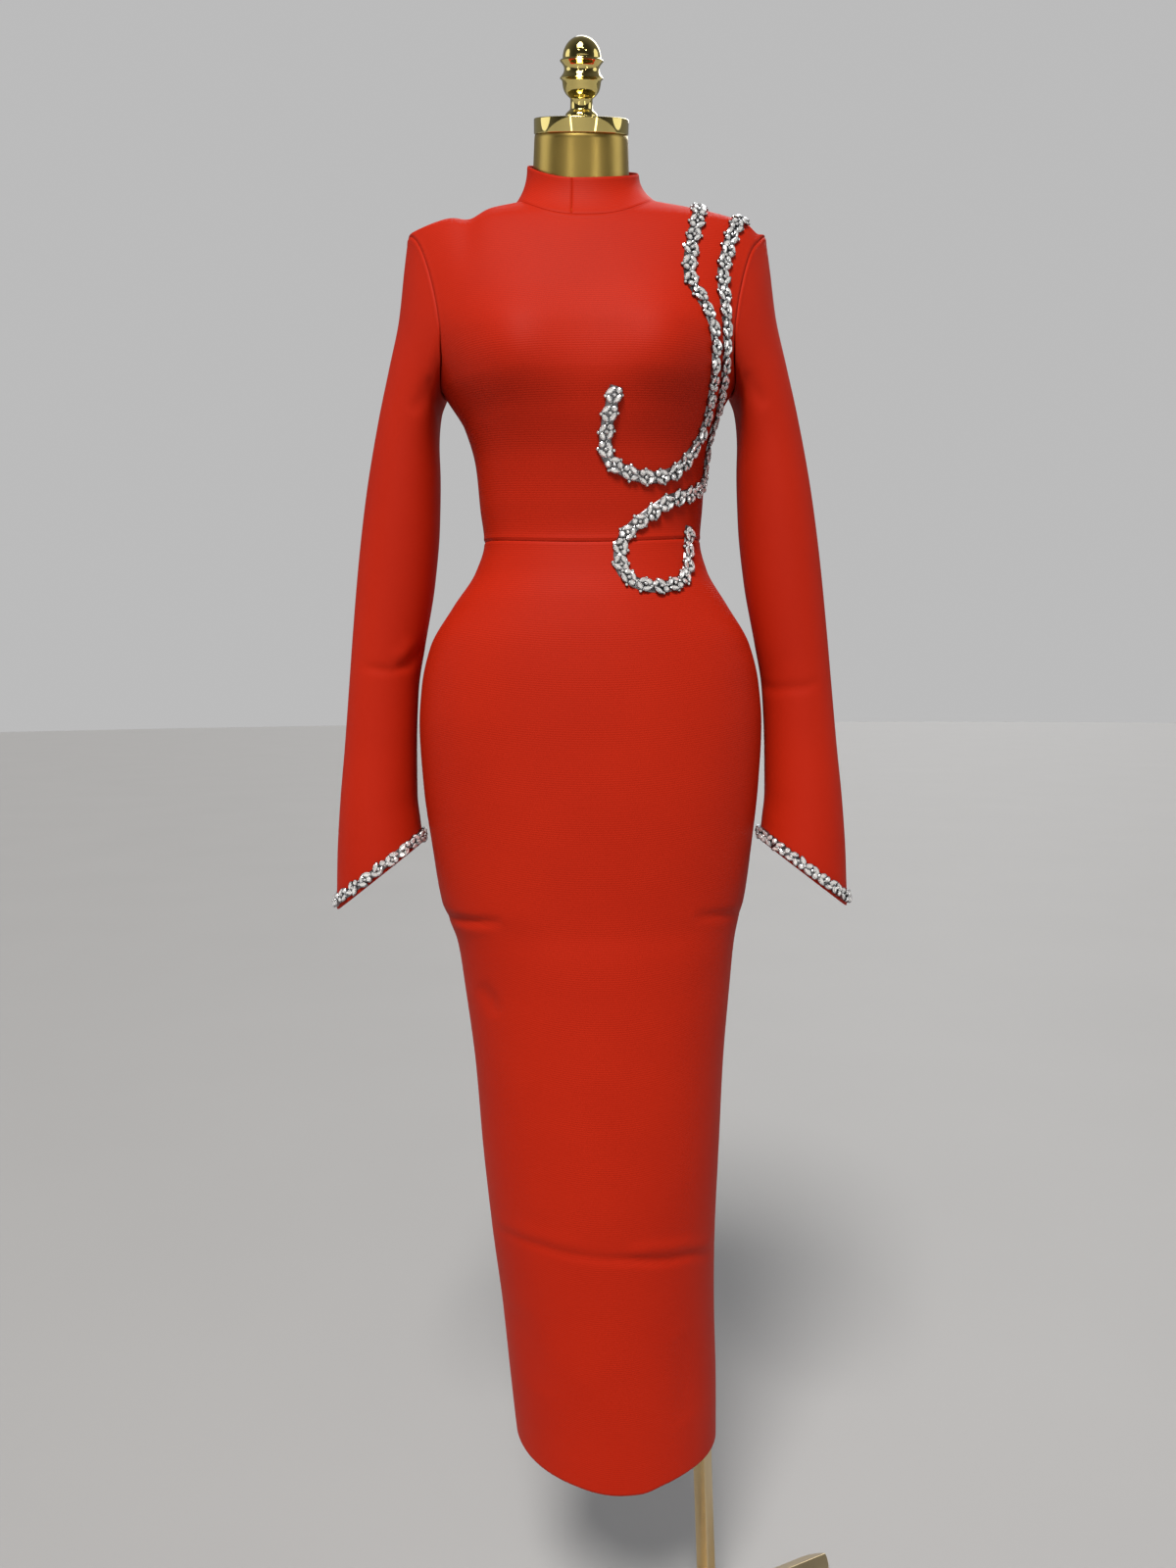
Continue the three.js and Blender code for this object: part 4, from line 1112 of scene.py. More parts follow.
@dataclass
class Dress:
    """The dress's cloth: bodice, skirt, sleeves and collar, each panel its own piece.

    The cells' sizes and the panels' rough lengths and widths give how many points each panel has.
    """

    shop: Workshop
    bodice_cell: float = 3.2
    bodice_width: float = 520.0
    bodice_low: float = 150.0
    bodice_high: float = 300.0
    skirt_cell: float = 4.0
    skirt_width: float = 480.0
    skirt_length: float = 940.0
    sleeve_cell: float = 4.0
    sleeve_points: int = 96
    sleeve_length: float = 680.0
    collar_cell: float = 2.0
    collar_half: float = 170.0
    collar_height: float = 40.0

    def build(self) -> None:
        """Make every panel."""
        for side, hands in ((Side.FRONT, [Hand.BOTH]), (Side.BACK, [Hand.RIGHT, Hand.LEFT])):
            for hand in hands:
                self.bodice(side, hand)
                self.skirt(side, hand)
        for hand in (Hand.RIGHT, Hand.LEFT):
            self.sleeve(hand)
            self.collar(hand)

    @staticmethod
    def label(side: Side, hand: Hand) -> str:
        """The panel's part of a node's name."""
        return "front" if side is Side.FRONT else f"back_{hand.name.lower()}"

    def across(self, hand: Hand, width: float) -> Array:
        """Columns of a panel: all the way across, or from the middle to one side."""
        if hand is Hand.BOTH:
            return spaced(-1, 1, self.bodice_cell, width)
        return spaced(min(0, hand.value), max(0, hand.value), self.bodice_cell, width / 2)

    def declare(self, wall: ClothWall, node: str) -> None:
        """Build a wall of cloth, give it the knit and hide the CAD node that it stands for.

        Args:
            wall: the wall.
            node: the CAD node that it stands for.
        """
        piece = self.shop.dress(wall.build(), self.shop.finishes.knit, "knit", [node])

    def parted(self, grid: Array, side: Side, hand: Hand) -> Array:
        """Leave half a seam's space at the side seams and the centre-back seam."""
        near = np.abs(grid[..., 1]) < SEAM / 2
        grid[..., 1] = np.where(near, side.value * SEAM / 2, grid[..., 1])
        if hand is not Hand.BOTH:
            column = 0 if hand is Hand.LEFT else -1
            grid[:, column, 0] += hand.value * CLOSED_SEAM
        return grid

    def bodice(self, side: Side, hand: Hand) -> None:
        """Make one bodice panel."""
        shape = self.shop.shape
        low = spaced(0, 1, self.bodice_cell, self.bodice_low)
        turn = np.linspace(0, math.pi, round(self.bodice_high / self.bodice_cell))[1:]
        high = np.append((1 - np.cos(turn)) / 2, 1.0)[: len(turn)]
        grid = shape.bodice(side, self.across(hand, self.bodice_width), low, high)
        grid[0, :, 2] += SEAM / 2
        name = f"bodice_{self.label(side, hand)}"
        self.declare(ClothWall(f"{name}_cloth", self.parted(grid, side, hand), ridge=0.35), name)

    def skirt(self, side: Side, hand: Hand) -> None:
        """Make one skirt panel."""
        shape = self.shop.shape
        columns = np.sin(self.across(hand, self.skirt_width) * math.pi / 2)
        grid = shape.skirt(side, columns, spaced(0, 1, self.skirt_cell, self.skirt_length))
        grid[0, :, 2] -= SEAM / 2
        name = f"skirt_{self.label(side, hand)}"
        self.declare(ClothWall(f"{name}_cloth", self.parted(grid, side, hand)), name)

    def sleeve(self, hand: Hand) -> None:
        """Make one sleeve."""
        rows = spaced(0, 12, self.sleeve_cell, self.sleeve_length)
        grid = SleeveShape(self.shop.shape, hand).grid(rows, self.sleeve_points)
        normals = grid_normals(grid, True)
        if np.sum(normals * (grid - grid.mean(axis=1, keepdims=True))) < 0:
            normals = -normals
        lift = sum(fold.lift(grid[..., 0], grid[..., 2]) for fold in SLEEVE_FOLDS)
        front = np.clip(-grid[..., 1] / 12.0, 0, 1)
        grid = grid + normals * (lift * front)[..., None]
        name = f"sleeve_{hand.name.lower()}"
        self.declare(ClothWall(f"{name}_cloth", grid, wraps=True, ridge=0.3), name)

    def collar(self, hand: Hand) -> None:
        """Make one half of the collar, from the front seam to the centre back."""
        shape = CollarShape(self.shop.shape)
        front = math.acos((shape.seam - shape.centre[0]) / shape.half)
        space = CLOSED_SEAM / shape.half
        back = 1.5 * math.pi
        if hand is Hand.RIGHT:
            turn = spaced(front + space, back - space, self.collar_cell, self.collar_half)
        else:
            turn = spaced(back + space, front + 2 * math.pi - space, self.collar_cell, self.collar_half)
        share = spaced(0, 1, self.collar_cell, self.collar_height)
        grid = shape.point(turn[None, :], share[:, None])
        name = f"collar_{hand.name.lower()}"
        self.declare(ClothWall(f"{name}_cloth", grid), name)


class StoneCut(Enum):
    """Cuts of stone in the trims: length, width and how pointed its ends are."""

    LEAF = (11.4, 5.6, 0.0)
    DROP = (8.8, 5.8, 0.5)
    ROUND = (6.6, 6.6, 1.0)
    BEAD = (3.5, 3.5, 1.0)


def stone_outline(cut: StoneCut, grow: float, count: int = 10) -> Array:
    """Outline of a stone in its own plane.

    Args:
        cut: the cut.
        grow: factor on its size.
        count: corners.

    Returns:
        Places along and across.
    """
    length, width, roundness = cut.value
    turn = np.arange(count) * 2 * np.pi / count
    along, across = np.cos(turn), np.sin(turn)
    sharp = np.where(cut is StoneCut.DROP, (along > 0) * 1.0, 1.0 - roundness)
    across = across * (1 - sharp * 0.45 * np.abs(along) ** 2)
    return np.stack([along * length / 2, across * width / 2], axis=-1) * grow


def stone_mesh(cut: StoneCut) -> tuple[Array, list[list[int]]]:
    """Cut stone with a flat table and two rows of facets.

    Args:
        cut: the cut.

    Returns:
        Its points, with the girdle at height 0, and its faces.
    """
    count = 8 if cut is StoneCut.BEAD else 10
    height = cut.value[1] * 0.30
    rings = [(0.72, -0.45 * height, 0), (1.0, 0.0, 0), (0.86, 0.55 * height, 0.5), (0.52, height, 0)]
    points = []
    for grow, z, twist in rings:
        outline = stone_outline(cut, grow, count)
        if twist:
            outline = (outline + np.roll(outline, -1, axis=0)) / 2
        points.append(np.column_stack([outline, np.full(count, z)]))
    faces = [list(range(count))[::-1], [3 * count + k for k in range(count)]]
    for k in range(count):
        after = (k + 1) % count
        faces.append([k, after, count + after, count + k])
        g, m, t = count, 2 * count, 3 * count
        faces.append([g + k, g + after, m + k])
        faces.append([g + after, m + after, m + k])
        faces.append([m + k, t + after, t + k])
        faces.append([m + k, m + after, t + after])
    return np.concatenate(points), faces


def cup_mesh(cut: StoneCut) -> tuple[Array, list[list[int]]]:
    """Metal cup of a stone with four claws over its edge.

    Args:
        cut: the cut.

    Returns:
        Its points and faces.
    """
    count = 8
    low, high = -0.42 * cut.value[1], 0.08 * cut.value[1]
    points = [np.column_stack([stone_outline(cut, grow, count), np.full(count, z)])
              for grow, z in ((0.92, low), (1.09, high), (1.0, high))]
    faces = [list(range(count))[::-1]]
    for ring in (0, 1):
        for k in range(count):
            a, b = ring * count + k, ring * count + (k + 1) % count
            faces.append([a, b, b + count, a + count])
    faces.append([2 * count + k for k in range(count)])
    outline = stone_outline(cut, 1.0, count)
    start = 3 * count
    for k in range(1, count, 2):
        x, y = outline[k]
        out = np.array([x, y]) / math.hypot(x, y)
        wide = 0.38 * np.array([-out[1], out[0]])
        base = np.array([x, y]) + 0.12 * out
        tip = np.array([x, y]) - 0.9 * out
        points.append(np.array([
            [*(base - wide), high - 0.6], [*(base + wide), high - 0.6],
            [*(np.array([x, y]) + 0.05 * out), high + 0.6], [*tip, high + 0.7],
        ]))
        faces += [[start + a for a in face] for face in ((0, 2, 1), (0, 3, 2), (1, 2, 3), (0, 1, 3))]
        start += 4
    return np.concatenate(points), faces


@dataclass
class Setting:
    """One stone of a trim: its cut and where it sits."""

    cut: StoneCut
    place: Array
    turn: Quaternion
    size: float


@dataclass(frozen=True)
class Sprig:
    """Rule for one cluster of stones: cut, place along and across, turn in degrees, height, size."""

    stones: tuple[tuple[StoneCut, float, float, float, float, float], ...] = (
        (StoneCut.LEAF, -2.6, 3.9, 24.0, 2.6, 1.0),
        (StoneCut.LEAF, 2.4, -3.6, 30.0, 2.2, 1.0),
        (StoneCut.ROUND, 4.6, 3.4, 0.0, 2.5, 0.95),
        (StoneCut.DROP, -4.4, -2.9, -38.0, 2.6, 0.95),
        (StoneCut.BEAD, 0.4, 0.2, 0.0, 3.9, 1.0),
        (StoneCut.BEAD, 7.6, -0.6, 0.0, 2.0, 1.0),
        (StoneCut.BEAD, 1.6, 7.1, 0.0, 1.8, 0.9),
        (StoneCut.BEAD, -2.2, -7.0, 0.0, 1.7, 0.9),
    )
    pitch: float = 16.0
    reach: float = 8.4


class Seating:
    """A band's own surface, as places along and across it with a height."""

    length: float
    closed: bool = False

    def at(self, along: float, across: float, height: float) -> tuple[Array, Array, Array]:
        """Place, way along and way out at a spot of the band."""
        raise NotImplementedError

    def half(self, along: float) -> float:
        """Half the band's width at a place along it."""
        raise NotImplementedError


class RouteSeating(Seating):
    """A band that runs over the body's surface along a listed route."""

    def __init__(self, shape: DressShape, rows: Sequence[tuple[float, float, float]]) -> None:
        """Smooth the route and lay it on the surface.

        Args:
            shape: the dress's surface.
            rows: the route's bends on the front, by x, z and half the band's width.
        """
        self.shape = shape
        table = np.array(rows, float)
        reach = 0.985 * shape.half(table[:, 1])
        mid = shape.mid(table[:, 1])
        x = mid + np.clip(table[:, 0] - mid, -reach, reach)
        bends = shape.point(Side.FRONT, x, table[:, 1])
        ends = np.concatenate([[2 * bends[0] - bends[1]], bends, [2 * bends[-1] - bends[-2]]])
        fine = []
        for i in range(1, len(ends) - 2):
            a, b, c, d = ends[i - 1:i + 3]
            t = np.linspace(0, 1, 12, endpoint=False)[:, None]
            fine.append(0.5 * (2 * b + (c - a) * t + (2 * a - 5 * b + 4 * c - d) * t ** 2
                               + (3 * b - 3 * c + d - a) * t ** 3))
        line = shape.seat(np.concatenate([*fine, bends[-1:]]), 0.0)
        run = arc(line[None], 1)[0]
        self.length = float(run[-1])
        self.line = [np.interp(np.linspace(0, run[-1], 400), run, line[:, k]) for k in range(3)]
        knots = run[:: 12][: len(rows)]
        self.widths = (knots, table[:, 2])

    def centre(self, along: float) -> Array:
        """The route's point at a length along it."""
        places = np.linspace(0, self.length, 400)
        return np.array([np.interp(along, places, values) for values in self.line])

    def half(self, along: float) -> float:
        """Half the band's width at a place along it."""
        return float(np.interp(along, *self.widths))

    def at(self, along: float, across: float, height: float) -> tuple[Array, Array, Array]:
        """Place, way along and way out at a spot of the band."""
        step = 1.5
        here = self.centre(along)
        way = unit(self.centre(min(along + step, self.length)) - self.centre(max(along - step, 0.0)))
        side = unit(np.cross(self.shape.normal(here), way))
        low = self.shape.seat(here + side * across, 0.0)
        out = self.shape.normal(low)
        return low + out * height, way, out


class CuffSeating(Seating):
    """A band round a sleeve just above its slanted edge."""

    closed = True

    def __init__(self, sleeve: SleeveShape, middle: float, half_width: float) -> None:
        """Work out the edge and the way up the cloth from it.

        Args:
            sleeve: the sleeve.
            middle: height of the band's middle over the edge, along the cloth.
            half_width: half the band's width.
        """
        grid = sleeve.grid(np.array([11.4, 11.7, 12.0]), 240)
        normals = grid_normals(grid, True)
        centre = grid.mean(axis=1, keepdims=True)
        if np.sum(normals * (grid - centre)) < 0:
            normals = -normals
        self.edge = grid[2]
        self.up = unit(grid[0] - grid[2])
        self.out = normals[1]
        self.middle = middle
        self.half_width = half_width
        self.run = arc(np.concatenate([grid[2], grid[2][:1]])[None], 1)[0]
        self.length = float(self.run[-1])

    def half(self, along: float) -> float:
        """Half the band's width, the same all round."""
        return self.half_width

    def read(self, values: Array, along: float) -> Array:
        """Values round the edge at a length along it."""
        closed = np.concatenate([values, values[:1]])
        return np.array([np.interp(along % self.length, self.run, closed[:, k]) for k in range(3)])

    def at(self, along: float, across: float, height: float) -> tuple[Array, Array, Array]:
        """Place, way along and way out at a spot of the band."""
        out = unit(self.read(self.out, along))
        up = unit(self.read(self.up, along))
        low = self.read(self.edge, along) + up * (self.middle + across)
        way = unit(self.read(self.edge, along + 1.5) - self.read(self.edge, along - 1.5))
        return low + out * (height + 0.3), way, out


TRIM_INNER = (
    (109, 1481, 8), (107, 1475, 8), (104, 1461, 8), (101, 1447, 8), (96, 1426, 8), (94, 1408, 8),
    (95, 1394, 8), (101.5, 1381, 7.5), (109, 1367, 7), (114.5, 1354, 6.6), (117.2, 1338, 6.4),
    (117.5, 1322, 6.4), (117, 1308, 6.6), (115.5, 1294, 7), (113, 1280, 7.5), (106.5, 1260, 7.5),
    (97, 1243, 8), (84, 1227, 8), (68, 1219, 8), (50, 1218, 8), (32, 1223, 8), (18.5, 1233, 8),
    (15.5, 1248, 8), (17.5, 1264, 8), (21.5, 1280, 8), (25.5, 1294, 8),
)
TRIM_OUTER = (
    (150, 1471.5, 8), (148, 1468, 8), (143.5, 1461, 8), (135, 1442, 8), (129, 1421, 8), (126, 1406, 8),
    (126, 1391, 8), (127, 1374, 7), (128, 1357, 6.6), (128.8, 1343, 6.4), (128.8, 1325, 6.4),
    (127.8, 1311, 6.4), (126.5, 1298, 6.6), (124.6, 1284, 7), (120.5, 1274, 7), (118, 1263, 8),
    (115.5, 1248, 8), (113.5, 1232, 8), (111, 1219, 8), (102, 1209, 8), (87, 1202.5, 8), (74, 1197, 8),
    (61, 1188, 8), (48, 1178, 8), (36, 1167, 8), (29.5, 1154, 8), (28.5, 1140, 8), (34, 1127, 8),
    (48, 1118.5, 8), (67, 1116.5, 8), (84, 1121, 8), (93, 1131, 8), (95, 1147, 8), (95.5, 1164, 8),
    (96.5, 1177, 8),
)


class NodeRecipe:
    """A Geometry Nodes tree built step by step, and turned into a plain mesh at the end."""

    def __init__(self, name: str) -> None:
        """Start a tree with geometry in and out."""
        self.tree = bpy.data.node_groups.new(name, "GeometryNodeTree")
        self.tree.interface.new_socket("Geometry", in_out="INPUT", socket_type="NodeSocketGeometry")
        self.tree.interface.new_socket("Geometry", in_out="OUTPUT", socket_type="NodeSocketGeometry")
        self.start = self.tree.nodes.new("NodeGroupInput")
        self.end = self.tree.nodes.new("NodeGroupOutput")
        self.values: dict[str, object] = {}

    def number(self, name: str, value: float) -> bpy.types.NodeSocket:
        """Add a named number to the tree's inputs and keep its value for the modifier."""
        item = self.tree.interface.new_socket(name, in_out="INPUT", socket_type="NodeSocketFloat")
        self.values[item.identifier] = value
        return self.start.outputs[name]

    def add(self, kind: str, settings: dict[str, object] | None = None,
            values: dict[str | int, object] | None = None) -> bpy.types.Node:
        """Add a node.

        Args:
            kind: its type.
            settings: attributes set first.
            values: sockets or plain values for its inputs.

        Returns:
            The node.
        """
        node = self.tree.nodes.new(kind)
        for key, value in (settings or {}).items():
            setattr(node, key, value)
        for key, value in (values or {}).items():
            if isinstance(value, bpy.types.NodeSocket):
                self.tree.links.new(value, node.inputs[key])
            else:
                node.inputs[key].default_value = value
        return node

    def run(self, carrier: bpy.types.Object, last: bpy.types.NodeSocket, material: bpy.types.Material,
            name: str) -> bpy.types.Object:
        """Realise the tree on a carrier and keep the result as a plain piece.

        Args:
            carrier: object that the tree reads; it is removed.
            last: geometry to realise.
            material: what the result is made of.
            name: the piece's name.

        Returns:
            The piece.
        """
        real = self.add("GeometryNodeRealizeInstances", {}, {0: last})
        dressed = self.add("GeometryNodeSetMaterial", {}, {0: real.outputs[0], "Material": material})
        self.tree.links.new(dressed.outputs[0], self.end.inputs[0])
        modifier = carrier.modifiers.new("recipe", "NODES")
        modifier.node_group = self.tree
        for key, value in self.values.items():
            modifier[key] = value
        evaluated = carrier.evaluated_get(bpy.context.evaluated_depsgraph_get())
        mesh = bpy.data.meshes.new_from_object(evaluated)
        carrier.modifiers.remove(modifier)
        bpy.data.objects.remove(carrier)
        mesh.name = name
        piece = bpy.data.objects.new(name, mesh)
        bpy.context.scene.collection.objects.link(piece)
        return piece


def spots(name: str, settings: Sequence[Setting]) -> bpy.types.Object:
    """Loose points that carry each stone's turn and size.

    Args:
        name: the object's name.
        settings: the stones.

    Returns:
        The object that a recipe reads.
    """
    mesh = bpy.data.meshes.new(name)
    places = (settled(np.array([s.place for s in settings])) + FORM_AXIS) * METRES
    mesh.from_pydata(places.tolist(), [], [])
    turn = mesh.attributes.new("turn", "QUATERNION", "POINT")
    turn.data.foreach_set("value", np.array([tuple(s.turn) for s in settings], np.float32).ravel())
    size = mesh.attributes.new("size", "FLOAT", "POINT")
    size.data.foreach_set("value", np.array([s.size for s in settings], np.float32))
    carrier = bpy.data.objects.new(name, mesh)
    bpy.context.scene.collection.objects.link(carrier)
    return carrier


def pattern_object(name: str, points: Array, faces: Sequence[Sequence[int]]) -> bpy.types.Object:
    """A small shape for a recipe to repeat, in metres round its own origin, with a painted light level on
    each facet that the stones' material turns into painted bright and dark reflections.
    """
    mesh = bpy.data.meshes.new(name)
    mesh.from_pydata((points * METRES).tolist(), [], faces)
    mesh.update()
    tone_and_painted_light = mesh.attributes.new("facet", "FLOAT", "FACE")
    tone_and_painted_light.data.foreach_set("value", [0.5 + 0.5 * math.sin(2.4 * k) for k in range(len(faces))])
    return bpy.data.objects.new(name, mesh)


@dataclass
class CrystalTrims:
    """The bands of stones: two on the front and one round each cuff."""

    shop: Workshop
    sprig: Sprig = field(default_factory=Sprig)
    backing_height: float = 1.5

    def build(self) -> None:
        """Make every band."""
        shape = self.shop.shape
        bands: dict[str, Seating] = {
            "trim_inner": RouteSeating(shape, TRIM_INNER),
            "trim_outer": RouteSeating(shape, TRIM_OUTER),
        }
        for hand in (Hand.RIGHT, Hand.LEFT):
            bands[f"trim_cuff_{hand.name.lower()}"] = CuffSeating(SleeveShape(shape, hand), 8.5, 7.0)
        for seed, (name, seating) in enumerate(bands.items()):
            settings = self.settings(seating, random.Random(40 + seed))
            self.repeat(f"{name}_stones", settings, stone_mesh, self.shop.finishes.crystal, [name])
            self.repeat(f"{name}_settings", settings, cup_mesh, self.shop.finishes.setting, [])
            self.backing(f"{name}_backing", seating)

    def settings(self, seating: Seating, chance: random.Random) -> list[Setting]:
        """Lay clusters of stones along a band.

        Args:
            seating: the band's surface.
            chance: source of small differences between clusters.

        Returns:
            The stones.
        """
        count = round(seating.length / self.sprig.pitch)
        pitch = seating.length / count
        laid = []
        for k in range(count):
            flip = 1 if (k + chance.randrange(2)) % 2 else -1
            for cut, along, across, turn, height, size in self.sprig.stones:
                place = (k + 0.5) * pitch + along + chance.uniform(-0.5, 0.5)
                if not seating.closed and not 1.0 < place < seating.length - 1.0:
                    continue
                narrow = min(1.0, seating.half(min(max(place, 0), seating.length)) / 8.0)
                if cut is StoneCut.BEAD and abs(across) > 4 and narrow < 0.9:
                    continue
                side = flip * across * narrow + chance.uniform(-0.35, 0.35)
                where, way, out = seating.at(place, side, height + chance.uniform(-0.3, 0.3))
                laid.append(Setting(cut, where, self.facing(way, out, flip * turn, chance), size))
        return laid

    @staticmethod
    def facing(way: Array, out: Array, turn: float, chance: random.Random) -> Quaternion:
        """Turn that lays a stone flat on the band and tips it a little.

        Args:
            way: way along the band.
            out: way out of the cloth.
            turn: degrees round the way out.
            chance: source of the tip.

        Returns:
            The turn.
        """
        z_axis = Vector(out)
        x_axis = Vector(way)
        x_axis = (x_axis - z_axis * x_axis.dot(z_axis)).normalized()
        y_axis = z_axis.cross(x_axis)
        base = Matrix((x_axis, y_axis, z_axis)).transposed().to_quaternion()
        spin = Quaternion((0, 0, 1), math.radians(turn + chance.uniform(-14, 14)))
        tip = Quaternion((1, 0, 0), math.radians(chance.uniform(-16, 16)))
        nod = Quaternion((0, 1, 0), math.radians(chance.uniform(-14, 14)))
        return base @ spin @ tip @ nod

    def repeat(self, name: str, settings: Sequence[Setting],
               shape: Callable[[StoneCut], tuple[Array, list[list[int]]]],
               material: bpy.types.Material, replaces: Sequence[str]) -> None:
        """Repeat one small shape of each cut at its stones.

        Args:
            name: the piece's name.
            settings: the stones.
            shape: makes the small shape of a cut.
            material: the shapes' finish.
            replaces: CAD nodes that the piece stands for.
        """
        joined = []
        for cut in StoneCut:
            chosen = [s for s in settings if s.cut is cut]
            if not chosen:
                continue
            pattern = pattern_object(f"{name}_{cut.name.lower()}", *shape(cut))
            recipe = NodeRecipe(f"{name}_{cut.name.lower()}")
            scale = recipe.number("Scale", 1.0)
            turn = recipe.add("GeometryNodeInputNamedAttribute", {"data_type": "QUATERNION"}, {0: "turn"})
            size = recipe.add("GeometryNodeInputNamedAttribute", {"data_type": "FLOAT"}, {0: "size"})
            info = recipe.add("GeometryNodeObjectInfo", {}, {0: pattern})
            grown = recipe.add("ShaderNodeMath", {"operation": "MULTIPLY"}, {
                0: size.outputs[0], 1: scale,
            })
            placed = recipe.add("GeometryNodeInstanceOnPoints", {}, {
                "Points": recipe.start.outputs[0], "Instance": info.outputs["Geometry"],
                "Rotation": turn.outputs[0], "Scale": grown.outputs[0],
            })
            joined.append(recipe.run(spots(f"{name}_spots", chosen), placed.outputs[0], material, name))
            bpy.data.objects.remove(pattern)
        self.shop.dress(self.join(joined, name), material, "crystal", replaces)

    @staticmethod
    def join(parts: list[bpy.types.Object], name: str) -> bpy.types.Object:
        """Join plain pieces into the first."""
        with bpy.context.temp_override(active_object=parts[0], selected_editable_objects=parts,
                                       selected_objects=parts, object=parts[0]):
            bpy.ops.object.join()
        parts[0].name = name
        parts[0].data.name = name
        return parts[0]

    def backing(self, name: str, seating: Seating) -> None:
        """Make the thin metal net under the stones as a low band.

        Args:
            name: the piece's name.
            seating: the band's surface.
        """
        steps = round(seating.length / 3.0)
        rings = []
        for i in range(steps + (0 if seating.closed else 1)):
            along = seating.length * i / steps
            half = seating.half(along) - 2.2
            rings.append([
                seating.at(along, side * half, lift)[0]
                for side, lift in ((-1, 0.2), (1, 0.2), (0.8, self.backing_height),
                                   (0, self.backing_height + 0.3), (-0.8, self.backing_height))
            ])
        grid = np.array(rings)
        count = grid.shape[1]
        faces = [list(f) for f in grid_faces(len(grid), count, True)]
        if seating.closed:
            first = (len(grid) - 1) * count
            faces += [[first + k, first + (k + 1) % count, (k + 1) % count, k] for k in range(count)]
        else:
            faces += [list(range(count)), [(len(grid) - 1) * count + k for k in range(count)][::-1]]
        piece = mesh_object(name, grid.reshape(-1, 3), faces, smooth=False)
        point_outwards(piece)
        self.shop.dress(piece, self.shop.finishes.setting, "crystal")


def point_outwards(piece: bpy.types.Object) -> None:
    """Turn the faces of a closed piece outwards."""
    mesh = piece.data
    points = np.array([v.co for v in mesh.vertices])
    volume = 0.0
    for face in mesh.polygons:
        a, *rest = (points[k] for k in face.vertices)
        volume += sum(float(np.dot(a, np.cross(b, c))) for b, c in zip(rest, rest[1:]))
    if volume < 0:
        mesh.flip_normals()


